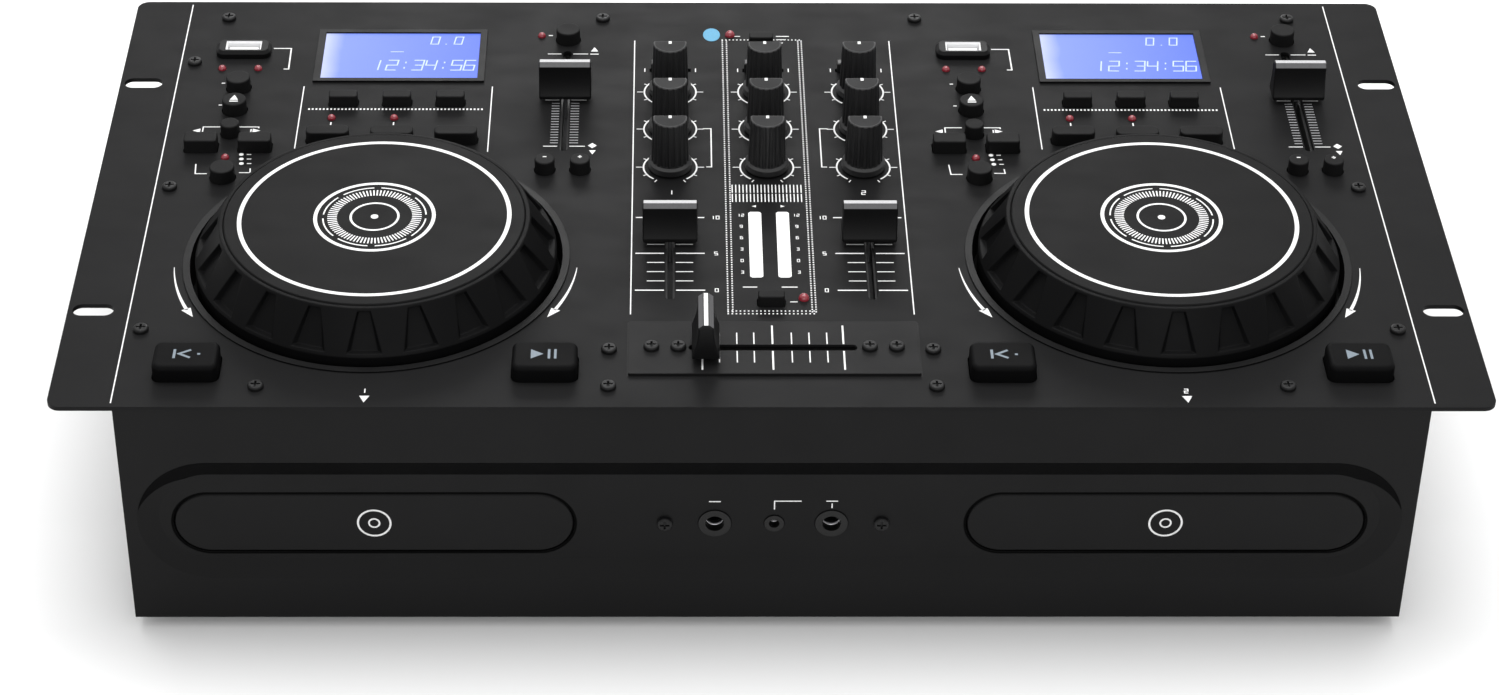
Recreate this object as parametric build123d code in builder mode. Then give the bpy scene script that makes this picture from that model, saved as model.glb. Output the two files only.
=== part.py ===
"""Dual disc player and mixer console for disc jockeys, 19 inch rack width.

Millimetres, +Z up.  X runs to the right and Y to the rear, as the player sees it.
The origin is on the surface that the feet stand on, under the middle of the top panel.
"""
from build123d import *
import os
from math import acos, cos, pi, radians, sin, tan

os.makedirs("parts", exist_ok=True)

# ---------------------------------------------------------------- cabinet
PANEL_W = 482.6            # rack ears included
PANEL_D = 260.3
PANEL_T = 1.6
PANEL_CORNER_R = 4.5
BODY_W = 439.4
BODY_H = 91.2              # from the bottom plate to the underside of the panel
FACE_INSET = 1.5           # front face behind the panel's front edge
REAR_INSET = 8.5           # rear wall ahead of the panel's rear edge
SHEET = 1.2                # folded steel of the chassis
FACE_T = 1.5               # sheet of the front panel
FLANGE_W = 11.5            # folded rims that the top panel is screwed to
FLANGE_GAP = 0.4
TAB_L = 14.0               # tabs of the side rims
PANEL_POST_R = 4.0
PANEL_POST_HOLE = 8.0
FOOT_H = 5.0
FOOT_R = 10.0
FOOT_CHAMFER = 0.8
FOOT_INSET_X = 30.0
FOOT_INSET_Y = 26.0

FLOOR_Z = FOOT_H
DECK_Z = FLOOR_Z + SHEET                # upper side of the bottom plate
UNDER_Z = FLOOR_Z + BODY_H              # underside of the top panel
TOP_Z = UNDER_Z + PANEL_T               # upper side of the top panel
FRONT_Y = -PANEL_D / 2 + FACE_INSET
REAR_Y = PANEL_D / 2 - REAR_INSET
SIDE_X = BODY_W / 2

# rack ear slots
SLOT_SPACING_X = 465.1
SLOT_SPACING_Y = 146.05
SLOT_LENGTH = 14.2
SLOT_W = 6.6
SLOT_CENTRE_Y = -2.1

# screws, all alike: M3 pan heads with a cross recess
SCREW_R = 1.5
SCREW_HEAD_R = 2.7
SCREW_HEAD_H = 1.5
SCREW_LENGTH = 5.0
SCREW_HOLE_R = 1.6
SCREW_HEAD_ROUND = 0.8
CROSS_W = 0.7
CROSS_SPAN = 3.2
CROSS_DEPTH = 0.9
SIDE_SCREW_X = 214.8
REAR_SCREW_Y = PANEL_D / 2 - 12.65
FRONT_SCREW_Y = -PANEL_D / 2 + 11.05
POST_SCREW_Y = -98.3
REAR_OUTER_SCREW_X = 205.0
REAR_INNER_SCREW_X = 60.4
MIXER_SCREW_X = 55.0
FRONT_OUTER_SCREW_X = 172.7
PANEL_SCREWS = [
    (-REAR_OUTER_SCREW_X, REAR_SCREW_Y),
    (-REAR_INNER_SCREW_X, REAR_SCREW_Y),
    (REAR_INNER_SCREW_X, REAR_SCREW_Y),
    (REAR_OUTER_SCREW_X, REAR_SCREW_Y),
    (-SIDE_SCREW_X, 85.3),
    (-SIDE_SCREW_X, 0.2),
    (SIDE_SCREW_X, 0.2),
    (-SIDE_SCREW_X, -86.9),
    (SIDE_SCREW_X, -86.9),
    (-FRONT_OUTER_SCREW_X, FRONT_SCREW_Y),
    (-MIXER_SCREW_X, FRONT_SCREW_Y),
    (MIXER_SCREW_X, FRONT_SCREW_Y),
    (FRONT_OUTER_SCREW_X, FRONT_SCREW_Y),
    (-MIXER_SCREW_X, POST_SCREW_Y),
    (MIXER_SCREW_X, POST_SCREW_Y),
]
WALL_SCREWS = [(-98.0, 74.0), (-108.0, 22.0), (98.0, 74.0), (98.0, 22.0)]   # (y, z) on the side walls

# ---------------------------------------------------------------- decks
DECK_X = 137.2             # jog centres left and right of the middle
JOG_Y = -43.65
DECKS = {1: -DECK_X, 2: DECK_X}

SEAT_GAP = 0.3             # between a resting face that moves and its seat

# jog well: a dish let into the panel from above
WELL_HOLE_R = 66.9
WELL_LIP_R = 67.7
WELL_LIP_H = 0.6
WELL_WALL_R = 66.6
WELL_WALL_T = 1.4
WELL_DEPTH = 13.0
WELL_FLOOR_T = 2.0
POST_R = 4.0
POST_H = 16.0
POST_COLLAR_R = 7.0        # thrust face under the wheel's hub

# jog wheel
JOG_FOOT_GAP = 2.0         # from the well's floor to the wheel
JOG_R = 63.2               # skirt
JOG_RIM_Z = 3.0            # where the flare starts, above the panel
JOG_TOP_R = 54.0
JOG_H = 17.4               # top of the plate above the panel
JOG_WALL = 3.0
JOG_HUB_R = 9.0
JOG_BORE_CLEARANCE = 0.05
JOG_DENTS = 20
JOG_DENT_DEPTH = 2.2
JOG_DENT_OVERRUN = 3.0     # the cut starts outside the flare
JOG_DENT_MARGIN = 1.0      # plain flare below and above a dent
JOG_DENT_FOOT_W = 18.0
JOG_DENT_TOP_W = 6.5
PLATE_R = 52.4
PLATE_T = 2.4
PLATE_GAP = 0.2
PLATE_PROUD = 0.4          # plate above the wheel's shoulder
PLATE_CHAMFER = 0.4

# keys: (x, y) from the deck's middle
KEY_GAP = 0.35             # between a key and its hole
KEY_TRAVEL = 1.0
KEY_LIP_T = 1.0
KEY_LIP_W = 1.0
KEY_LIP_GAP = 0.3          # lip below the panel
KEY_STEM_R = 1.5
KEY_FILLET = 0.5
ROUND_KEY_H = 5.0
KEY_COLUMN_X = -59.2
SELECT_KEY = (KEY_COLUMN_X, 67.5)
EJECT_KEY = (KEY_COLUMN_X, 52.1)
JOG_MODE_KEY = (KEY_COLUMN_X, 6.8)
PITCH_KEY = (63.8, 102.3)
ROUND_KEY_R = 4.5
BEND_KEY_R = 3.65
BEND_KEYS = [(57.3, 12.1), (70.1, 12.1)]
TRACK_KEY_R = 3.5
TRACK_KEY = (KEY_COLUMN_X, 35.9)
SKIP_KEYS = [(-69.0, 26.6), (-49.3, 26.6)]
SKIP_KEY_W = 12.0
SKIP_KEY_D = 6.5
DISPLAY_KEYS = [(-19.1, 57.1), (0.9, 57.1), (20.8, 57.1)]
DISPLAY_KEY_W = 10.6
DISPLAY_KEY_D = 5.0
DISPLAY_KEY_H = 4.4
LOOP_KEYS = [(-23.0, 31.6), (0.6, 31.6), (24.1, 31.6)]
LOOP_KEY_W = 15.8
LOOP_KEY_D = 6.0
BAR_KEY_R = 1.2
LOOP_KEY_R = 2.4
START_KEY_W = 22.0
START_KEY_D = 15.4
START_KEY_H = 6.0
START_KEY_R = 3.0
START_KEY_TRAVEL = 1.5
START_KEY_FILLET = 1.6
CUE_KEY = (-59.5, -108.55)
PLAY_KEY = (60.8, -108.55)

# lamps: domes on the boards, through the panel
LAMP_R = 1.5
LAMP_PROUD = 1.2
LAMP_GAP = 0.1
LAMP_ROUND = 1.0
DECK_LAMPS = [(-66.8, 81.0), (-53.2, 81.0), (-59.6, 19.8), (-22.8, 46.6), (0.4, 46.6), (53.6, 105.0)]
MIXER_LAMPS = [(-12.2, 105.8), (11.1, -68.2)]

# display
DISPLAY_X = 0.4
DISPLAY_Y = 90.0
DISPLAY_FRAME_W = 64.6
DISPLAY_FRAME_D = 37.0
DISPLAY_FRAME_PROUD = 0.8
DISPLAY_RIM = 0.9          # frame past its hole in the panel
DISPLAY_GLASS_W = 59.4
DISPLAY_GLASS_D = 32.8
DISPLAY_GLASS_SUNK = 0.6

# memory stick socket
USB_X = -59.6
USB_Y = 93.2
USB_BEZEL_W = 20.6
USB_BEZEL_D = 10.0
USB_BEZEL_R = 3.0
USB_BEZEL_H = 3.0
USB_CHAMFER = 1.1
USB_SHELL_W = 13.2
USB_SHELL_D = 5.9
USB_SHELL_T = 0.4
USB_SHELL_SUNK = 0.6       # shell's mouth below the bezel's top
USB_TONGUE_W = 11.0
USB_TONGUE_D = 1.8
USB_TONGUE_SUNK = 1.5
USB_GAP = 0.3

# ---------------------------------------------------------------- faders
FADER_SLOT_W = 3.3
FADER_CAP_L = 19.4         # across the direction of travel
FADER_CAP_BASE = 9.4
FADER_CAP_TOP = 5.2
FADER_CAP_H = 14.0
FADER_CAP_GAP = 2.0        # cap above the surface it slides over
FADER_BLADE_T = 1.2
FADER_BLADE_W = 4.0
FADER_BLADE_GAP = 0.3
FADER_BODY_W = 12.0
FADER_BODY_DROP = 0.6      # body under the panel
FADER_BODY_END = 1.2       # body past its slot
FADER_BODY_FLOOR = 1.2
FADER_CAP_RIDGE = 2.0      # flat top of a cap
FADER_CAP_BEVEL = 1.3      # drop of the sloping strips beside it
FADER_CAP_FOOT = 1.2       # upright foot of the cap
FADER_CAP_WAIST = 6.2      # widest part of the finger hollow, above the foot
FADER_CAP_WAIST_W = 5.9
FADER_CAP_EDGE = 0.4
FADER_SLOT_END = 2.6       # slot past the blade at each end of the travel
PITCH_X = 63.7
PITCH_CENTRE_Y = 59.5
PITCH_TRAVEL = 60.0
PITCH_REST = 1.8           # cap's place from the middle of its travel
CHANNEL_CENTRE_Y = -41.2
CHANNEL_TRAVEL = 46.0
CHANNEL_REST = 9.0

# ---------------------------------------------------------------- mixer
MIXER_X = 0.9
COLUMN_PITCH = 35.2
KNOB_ROWS = [65.0, 39.4, 13.9]
KNOB_COLUMNS = {"left": -COLUMN_PITCH, "middle": 0.0, "right": COLUMN_PITCH}
KNOB_ROW_NAMES = ["top", "middle", "bottom"]
KNOB_GAP = 0.8
KNOB_H = 21.4
KNOB_BASE_R = 7.9
KNOB_SKIRT_H = 2.2
KNOB_WAIST_R = 6.9
KNOB_TOP_R = 6.3
KNOB_FLUTES = 18
KNOB_FLUTE_R = 0.8
KNOB_CUT_Y = 1.4           # where the sloping pointer face starts, behind the axis
KNOB_CUT_SLOPE = 50.0      # degrees below the level
KNOB_EDGE = 0.4
KNOB_SKIRT_RUN = 0.8       # height of the step from the skirt to the body
SHAFT_R = 3.0
SHAFT_CLEARANCE = 0.05
SHAFT_HOLE_GAP = 0.5       # round the shaft in the panel
POT_W = 14.0
POT_H = 7.0
POT_HOLE_DEPTH = 5.0

LEVER_Y = 80.4
LEVER_TRAVEL = 10.0
LEVER_W = 4.4
LEVER_D = 3.4
LEVER_H = 4.0
LEVER_STEM_D = 1.6
LEVER_SLOT_D = 2.4
LEVER_BODY_D = 7.0
LEVER_LEAD = 0.6           # slot past the lever's stem at each end
LEVER_BODY_END = 2.0
LEVER_LIFT = 0.4           # lever's cap above the panel

PAIRING_KEY = (-0.3, 99.9)
RELAY_KEY = (-0.2, -70.6)
MIXER_KEY_W = 9.2
MIXER_KEY_D = 4.6
MIXER_KEY_H = 4.0

METER_X = 4.95
METER_Y = -35.5
METER_W = 4.4
METER_L = 40.7
METER_GAP = 0.1

PLATE_W = 98.6
PLATE_D = 29.8
PLATE_Y = -97.9
PLATE_SHEET = 1.0
PLATE_CORNER_R = 0.6
CROSS_SLOT_Y = -98.1
CROSS_CENTRE_X = 0.6
CROSS_TRAVEL = 48.0
CROSS_REST = -22.8
PLATE_SCREWS = [-41.5, -32.4, 32.6, 41.7]
CROSS_EARS_L = 92.0
PLATE_WINDOW_MARGIN = 3.0  # panel that stays over each side of the fader's body

# boards under the panel
BOARD_DROP = 10.0          # board's upper side under the top of the panel
BOARD_T = 1.6
STUD_R = 2.5
DECK_STUDS = [(-67.5, 74.5), (-67.5, 14.5), (-32.0, 66.0), (35.0, 66.0), (54.6, 97.0), (54.3, 30.0)]
MIXER_STUDS = [(-44.0, 103.0), (44.0, 103.0), (-44.0, -81.0), (44.0, -81.0)]
START_STUD_X = 15.5        # beside a start key
SWITCH_BUTTON_W = 6.0      # small switch under each key
SWITCH_BUTTON_H = 3.5
SWITCH_BUTTON_GAP = 0.1    # left at the end of a key's travel
BOARD_Z = TOP_Z - BOARD_DROP

# ---------------------------------------------------------------- front face
RECESS_W = 430.8
RECESS_H = 50.5
RECESS_DROP = 49.95        # its middle under the top of the panel
RECESS_DEPTH = 2.5
RECESS_BEVEL = 7.0
TRAY_X = 135.2
TRAYS = {1: -TRAY_X, 2: TRAY_X}
DOOR_DROP = 52.8
DOOR_W = 136.0
DOOR_H = 24.6
DOOR_T = 2.5
DOOR_GAP = 0.4
DOOR_EDGE = 0.5
LARGE_JACKS = [-19.0, 20.9]
SMALL_JACK = 1.3
JACK_SCREWS = [-36.1, 38.0]
LARGE_JACK_R = 5.6         # collar
LARGE_JACK_BORE_R = 3.2
LARGE_JACK_DEPTH = 24.0
SMALL_JACK_R = 3.4
SMALL_JACK_BORE_R = 1.8
SMALL_JACK_DEPTH = 14.0
JACK_COLLAR_PROUD = 0.4
JACK_BODY_W = 15.0
JACK_GAP = 0.1
BRACKET_W = 84.0
BRACKET_H = 17.0
BRACKET_T = 1.2

# ---------------------------------------------------------------- trays
TRAY_W = 128.0
TRAY_T = 6.0
TRAY_L = 165.0
TRAY_TRAVEL = 135.0
TRAY_CORNER_R = 3.0
DISC_R = 60.6
DISC_RECESS = 1.8
SMALL_DISC_R = 40.6
SMALL_DISC_RECESS = 3.2
DISC_FROM_DOOR = 66.0
SPINDLE_SLOT_W = 40.0
SPINDLE_SLOT_L = 78.0
RACK_W = 3.5
RACK_H = 4.0
RACK_X = -58.0             # rack's back, from the tray's middle
GEAR_MODULE = 1.0
GEAR_TEETH = 24
GEAR_ADDENDUM = 0.8
GEAR_DEDENDUM = 1.2
TOOTH_SHARE = 0.44         # tooth's part of the pitch
GEAR_H = 3.4
GEAR_FROM_DOOR = 20.6      # gear's axis behind the tray's front end
GEAR_PIN_R = 2.0
GEAR_COLLAR_R = 3.6
PRESSURE_ANGLE = 20.0
FLANK_STEPS = 4
RACK_LEAD = 7.5            # rack past the gear at each end of the travel
RUN_CLEARANCE = 0.05

# mechanism frame under each tray
FRAME_Z = 24.0
FRAME_T = 2.5
FRAME_FROM_DOOR = 7.6
FRAME_L = 169.0
RAIL_T = 5.0
RAIL_LEDGE = 3.2
RAIL_LEDGE_T = 2.0
RAIL_LIP = 2.6
RAIL_LIP_T = 1.8
RAIL_GAP = 0.4             # beside the tray
FRAME_POST_R = 4.0
FRAME_POST_INSET = 8.0
MOTOR_R = 12.0
MOTOR_H = 8.0
LOAD_MOTOR_R = 8.0
LOAD_MOTOR_X = -10.0
HUB_R = 7.0
HUB_TOP_GAP = 1.6          # hub under the tray
ROD_R = 1.5
ROD_X = 20.0
ROD_Z = 33.0
ROD_FROM_DISC = 16.6       # front brace behind the disc's middle
ROD_L = 86.0
ROD_MARGIN = 2.5           # brace round a rod
BRACE_T = 3.0
SLED_D = 26.0
SLED_H = 7.0
SLED_FROM_DISC = 42.6
LENS_R = 4.0
LENS_PROUD = 1.0

# ---------------------------------------------------------------- rear
CUT_GAP = 0.1              # between a rear fitting and its cut-out
RCA_PAIRS_X = [-176.0, -148.0, -120.0, -92.0]
RCA_ROW_Z = [42.0, 58.0]
RCA_R = 4.15
RCA_BORE_R = 1.65
RCA_LENGTH = 8.0
RCA_BODY_W = 12.0
RCA_BODY_D = 9.0
RCA_BORE_DEPTH = 12.0
RCA_HOLE_GAP = 0.2
INLET_X = 180.0
INLET_Z = 48.0
INLET_W = 27.0
INLET_H = 19.6
INLET_WALL = 1.4
INLET_DEPTH = 22.0
INLET_FLANGE = 2.0
INLET_FLANGE_T = 1.8
INLET_CAVITY = 17.0
BLADE_W = 2.0
BLADE_H = 4.0
BLADE_L = 11.0
BLADE_X = 7.0
BLADE_Z = 2.6
ROCKER_X = 142.0
ROCKER_Z = 48.0
ROCKER_R = 9.6
ROCKER_W = 12.0
ROCKER_TILT = 9.0
ROCKER_GAP = 0.3
ROCKER_PIVOT_IN = 1.5      # axis ahead of the rear wall's outer side
ROCKER_PIN_R = 1.2
SWITCH_WALL = 1.6
SWITCH_DEPTH = 16.0
SWITCH_RIM = 1.5
ROCKER_END_ANGLE = 75.0    # of the rocker's edge, from its middle
ROCKER_FACE = 1.0          # middle of the rocker's face, from the pin

# inner boards
MAIN_BOARD_W = 96.0
MAIN_BOARD_Y0 = -105.0
MAIN_BOARD_Y1 = 50.0
MAIN_BOARD_Z = 14.0
POWER_BOARD_W = 120.0
POWER_BOARD_D = 50.0
POWER_BOARD_X = 150.0
POWER_BOARD_Y = 88.0
COIL_W = 42.0
COIL_D = 36.0
COIL_H = 16.0
CHIP_W = 18.0
CHIP_H = 2.4
CHIP_PLACES = [(-20.0, -60.0), (20.0, -60.0), (0.0, 10.0)]
START_BOARD_W = 36.0
MIXER_BOARD = (MIXER_X, 11.0, 96.0, 192.0)      # middle, width and depth
DECK_BOARDS = [
    (-65.0, 51.0, 28.0, 97.0),
    (-46.4, 32.0, 10.4, 24.0),
    (1.5, 70.5, 73.0, 84.0),
    (PITCH_X, 59.5, 25.0, 105.0),
    (CUE_KEY[0], CUE_KEY[1], START_BOARD_W, START_KEY_D),
    (PLAY_KEY[0], PLAY_KEY[1], START_BOARD_W, START_KEY_D),
]


def front_plane(y):
    """A plane facing the player at depth y: local x is X and local y is Z."""
    return Plane(origin=(0, y, 0), x_dir=(1, 0, 0), z_dir=(0, -1, 0))


def side_plane(x):
    """A plane facing +X: local x is Y and local y is Z."""
    return Plane(origin=(x, 0, 0), x_dir=(0, 1, 0), z_dir=(1, 0, 0))


def shifted(points, dx, dy=0.0):
    return [(x + dx, y + dy) for x, y in points]


def save(builder, label):
    builder.part.label = label
    export_step(builder.part, f"parts/{label}.step")


def fader_slot_length(travel):
    return travel + FADER_BLADE_W + 2 * FADER_SLOT_END


# ---------------------------------------------------------------- tables worked out from the sizes
DISPLAY_HOLE_W = DISPLAY_FRAME_W - 2 * DISPLAY_RIM
DISPLAY_HOLE_D = DISPLAY_FRAME_D - 2 * DISPLAY_RIM
USB_HOLE_W = USB_SHELL_W + 2 * USB_GAP
USB_HOLE_D = USB_SHELL_D + 2 * USB_GAP
MIXER_KEYS = shifted([PAIRING_KEY, RELAY_KEY], MIXER_X)
LEVER_CENTRES = [(MIXER_X + x, LEVER_Y) for x in KNOB_COLUMNS.values()]
CHANNELS = {1: MIXER_X - COLUMN_PITCH, 2: MIXER_X + COLUMN_PITCH}
KNOBS = {
    f"{column}_{row}": (MIXER_X + x, y)
    for column, x in KNOB_COLUMNS.items()
    for row, y in zip(KNOB_ROW_NAMES, KNOB_ROWS)
}
WELL_FLOOR_Z = TOP_Z - WELL_DEPTH           # upper side of the well's floor
RECESS_Z = TOP_Z - RECESS_DROP
DOOR_Z = TOP_Z - DOOR_DROP
JACK_Z = DOOR_Z
RECESS_FLOOR_Y = FRONT_Y + RECESS_DEPTH
TRAY_Y0 = RECESS_FLOOR_Y + DOOR_T           # tray's front end, on the door's back
TRAY_Z0 = DOOR_Z - TRAY_T / 2
DISC_Y = TRAY_Y0 + DISC_FROM_DOOR
GEAR_Y = TRAY_Y0 + GEAR_FROM_DOOR
GEAR_R = GEAR_MODULE * GEAR_TEETH / 2
GEAR_PITCH = pi * GEAR_MODULE
RACK_LINE_X = RACK_X + RACK_W               # pitch line of the rack
GEAR_X = RACK_LINE_X + GEAR_R
GEAR_Z0 = TRAY_Z0 - RACK_H


# ---------------------------------------------------------------- outlines
def plan_circles(places, radius, z):
    with BuildSketch(Plane.XY.offset(z)) as outline:
        with Locations(*places):
            Circle(radius)
    return outline.sketch


def plan_boxes(places, width, depth, z):
    with BuildSketch(Plane.XY.offset(z)) as outline:
        with Locations(*places):
            Rectangle(width, depth)
    return outline.sketch


def face_circles(places, radius, y):
    with BuildSketch(front_plane(y)) as outline:
        with Locations(*places):
            Circle(radius)
    return outline.sketch


def face_boxes(places, width, height, y):
    with BuildSketch(front_plane(y)) as outline:
        with Locations(*places):
            Rectangle(width, height)
    return outline.sketch


# ---------------------------------------------------------------- cuts in a sketch
def cut_circles(places, radius):
    with Locations(*places):
        Circle(radius, mode=Mode.SUBTRACT)


def cut_boxes(places, width, depth):
    with Locations(*places):
        Rectangle(width, depth, mode=Mode.SUBTRACT)


def cut_rounded(places, width, depth, corner):
    with Locations(*places):
        RectangleRounded(width, depth, corner, mode=Mode.SUBTRACT)


def cut_slots(places, length, width, turn=0):
    with Locations(*places):
        SlotOverall(length, width, rotation=turn, mode=Mode.SUBTRACT)


def cut_keys(places, width, depth, corner):
    cut_rounded(places, width + 2 * KEY_GAP, depth + 2 * KEY_GAP, corner)


# ---------------------------------------------------------------- top panel
EAR_SLOTS = [
    (sx * SLOT_SPACING_X / 2, SLOT_CENTRE_Y + sy * SLOT_SPACING_Y / 2)
    for sx in (-1, 1)
    for sy in (-1, 1)
]
PLATE_SCREW_PLACES = [(MIXER_X + x, CROSS_SLOT_Y) for x in PLATE_SCREWS]
METER_PLACES = [(MIXER_X - METER_X, METER_Y), (MIXER_X + METER_X, METER_Y)]
LAMP_PLACES = shifted(MIXER_LAMPS, MIXER_X) + [
    place for x in DECKS.values() for place in shifted(DECK_LAMPS, x)
]


def stud_places():
    """Studs under the panel, which the key boards hang on."""
    places = shifted(MIXER_STUDS, MIXER_X)
    for x in DECKS.values():
        places += shifted(DECK_STUDS, x)
        for key_x, key_y in (CUE_KEY, PLAY_KEY):
            places += [(x + key_x + side * START_STUD_X, key_y) for side in (-1, 1)]
    return places


def cut_deck_holes(x):
    cut_circles([(x, JOG_Y)], WELL_HOLE_R)
    cut_circles(shifted([SELECT_KEY, EJECT_KEY, JOG_MODE_KEY, PITCH_KEY], x), ROUND_KEY_R + KEY_GAP)
    cut_circles(shifted(BEND_KEYS, x), BEND_KEY_R + KEY_GAP)
    cut_circles(shifted([TRACK_KEY], x), TRACK_KEY_R + KEY_GAP)
    cut_keys(shifted(SKIP_KEYS, x), SKIP_KEY_W, SKIP_KEY_D, BAR_KEY_R)
    cut_keys(shifted(DISPLAY_KEYS, x), DISPLAY_KEY_W, DISPLAY_KEY_D, BAR_KEY_R)
    cut_keys(shifted(LOOP_KEYS, x), LOOP_KEY_W, LOOP_KEY_D, LOOP_KEY_R)
    cut_keys(shifted([CUE_KEY, PLAY_KEY], x), START_KEY_W, START_KEY_D, START_KEY_R)
    cut_boxes([(x + DISPLAY_X, DISPLAY_Y)], DISPLAY_HOLE_W, DISPLAY_HOLE_D)
    cut_boxes([(x + USB_X, USB_Y)], USB_HOLE_W, USB_HOLE_D)
    cut_slots([(x + PITCH_X, PITCH_CENTRE_Y)], fader_slot_length(PITCH_TRAVEL), FADER_SLOT_W, 90)


def cut_mixer_holes():
    channel_places = [(x, CHANNEL_CENTRE_Y) for x in CHANNELS.values()]
    cut_circles(KNOBS.values(), SHAFT_R + SHAFT_HOLE_GAP)
    cut_keys(MIXER_KEYS, MIXER_KEY_W, MIXER_KEY_D, BAR_KEY_R)
    cut_boxes(METER_PLACES, METER_W + 2 * METER_GAP, METER_L + 2 * METER_GAP)
    cut_slots(channel_places, fader_slot_length(CHANNEL_TRAVEL), FADER_SLOT_W, 90)
    cut_boxes(LEVER_CENTRES, LEVER_TRAVEL + LEVER_W + 2 * LEVER_LEAD, LEVER_SLOT_D)
    cut_circles(PLATE_SCREW_PLACES, SCREW_HOLE_R)
    cut_boxes(
        [(CROSS_CENTRE_X, CROSS_SLOT_Y)],
        fader_slot_length(CROSS_TRAVEL),
        FADER_BODY_W - 2 * PLATE_WINDOW_MARGIN,
    )


with BuildPart() as top_panel:
    with BuildSketch(Plane.XY.offset(UNDER_Z)):
        RectangleRounded(PANEL_W, PANEL_D, PANEL_CORNER_R)
        cut_slots(EAR_SLOTS, SLOT_LENGTH, SLOT_W)
        cut_circles(PANEL_SCREWS, SCREW_HOLE_R)
        cut_circles(LAMP_PLACES, LAMP_R + LAMP_GAP)
        for x in DECKS.values():
            cut_deck_holes(x)
        cut_mixer_holes()
    extrude(amount=PANEL_T)
    extrude(plan_circles(stud_places(), STUD_R, BOARD_Z), amount=UNDER_Z - BOARD_Z)
save(top_panel, "top_panel")

# ---------------------------------------------------------------- chassis
CHASSIS_Y0 = FRONT_Y + FACE_T
CHASSIS_D = REAR_Y - CHASSIS_Y0
CHASSIS_MID_Y = (REAR_Y + CHASSIS_Y0) / 2
RCA_PLACES = [(x, z) for x in RCA_PAIRS_X for z in RCA_ROW_Z]
SWITCH_W = ROCKER_W + 2 * ROCKER_GAP + 2 * SWITCH_WALL
SWITCH_H = 2 * (ROCKER_R + ROCKER_GAP + SWITCH_WALL)
INLET_PLACE = [(INLET_X, INLET_Z)]
SWITCH_PLACE = [(ROCKER_X, ROCKER_Z)]
FOOT_PLACES = [
    (sx * (SIDE_X - FOOT_INSET_X), CHASSIS_MID_Y + sy * (CHASSIS_D / 2 - FOOT_INSET_Y))
    for sx in (-1, 1)
    for sy in (-1, 1)
]

REAR_SCREWS = [place for place in PANEL_SCREWS if place[1] == REAR_SCREW_Y]
SIDE_SCREWS = [place for place in PANEL_SCREWS if abs(place[0]) == SIDE_SCREW_X]
FRONT_SCREWS = [place for place in PANEL_SCREWS if place[1] == FRONT_SCREW_Y]
SIDE_TABS = [(1 if x > 0 else -1, y) for x, y in SIDE_SCREWS]
POST_PLACES = [(-MIXER_SCREW_X, POST_SCREW_Y), (MIXER_SCREW_X, POST_SCREW_Y)]

with BuildPart() as chassis:
    with BuildSketch(Plane.XY.offset(FLOOR_Z)):
        with Locations((0, CHASSIS_MID_Y)):
            Rectangle(BODY_W, CHASSIS_D)
    extrude(amount=BODY_H)
    with BuildSketch(Plane.XY.offset(DECK_Z)):
        with Locations((0, CHASSIS_MID_Y - SHEET)):
            Rectangle(BODY_W - 2 * SHEET, CHASSIS_D)
    extrude(amount=BODY_H, mode=Mode.SUBTRACT)
    extrude(plan_circles(POST_PLACES, PANEL_POST_R, DECK_Z), amount=UNDER_Z - DECK_Z)
    extrude(plan_circles(POST_PLACES, SCREW_HOLE_R, UNDER_Z), amount=-PANEL_POST_HOLE, mode=Mode.SUBTRACT)
    with BuildSketch(Plane.XY.offset(UNDER_Z - SHEET)):
        with Locations((0, REAR_Y - FLANGE_W / 2)):
            Rectangle(BODY_W, FLANGE_W)
        with Locations(*[(side * (SIDE_X - FLANGE_W / 2), y) for side, y in SIDE_TABS]):
            Rectangle(FLANGE_W, TAB_L)
        cut_circles(REAR_SCREWS + SIDE_SCREWS, SCREW_HOLE_R)
    extrude(amount=SHEET)
    extrude(face_circles(RCA_PLACES, RCA_R + RCA_HOLE_GAP, REAR_Y), amount=SHEET, mode=Mode.SUBTRACT)
    extrude(face_boxes(INLET_PLACE, INLET_W + 2 * CUT_GAP, INLET_H + 2 * CUT_GAP, REAR_Y),
            amount=SHEET, mode=Mode.SUBTRACT)
    extrude(face_boxes(SWITCH_PLACE, SWITCH_W + 2 * CUT_GAP, SWITCH_H + 2 * CUT_GAP, REAR_Y),
            amount=SHEET, mode=Mode.SUBTRACT)
    with BuildSketch(side_plane(-SIDE_X)):
        with Locations(*WALL_SCREWS):
            Circle(SCREW_HOLE_R)
    extrude(amount=BODY_W, mode=Mode.SUBTRACT)
save(chassis, "chassis")

# ---------------------------------------------------------------- front panel
FACE_MID_Z = FLOOR_Z + BODY_H / 2
FLOOR_SLOT_W = RECESS_W - 2 * RECESS_BEVEL
FLOOR_SLOT_H = RECESS_H - 2 * RECESS_BEVEL
LARGE_JACK_PLACES = [(x, JACK_Z) for x in LARGE_JACKS]
SMALL_JACK_PLACES = [(SMALL_JACK, JACK_Z)]
JACK_SCREW_PLACES = [(x, JACK_Z) for x in JACK_SCREWS]
FACE_HOLES = [
    (LARGE_JACK_PLACES, LARGE_JACK_R + JACK_GAP),
    (SMALL_JACK_PLACES, SMALL_JACK_R + JACK_GAP),
    (JACK_SCREW_PLACES, SCREW_HOLE_R),
]


def recess_outline(y, width, height):
    with BuildSketch(front_plane(y)) as outline:
        with Locations((0, RECESS_Z)):
            SlotOverall(width, height)
    return outline.sketch


def dished_slot(y):
    """The pressed recess: a long slot that narrows from y to the depth of the recess."""
    return [
        recess_outline(y, RECESS_W, RECESS_H),
        recess_outline(y + RECESS_DEPTH, FLOOR_SLOT_W, FLOOR_SLOT_H),
    ]


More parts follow.
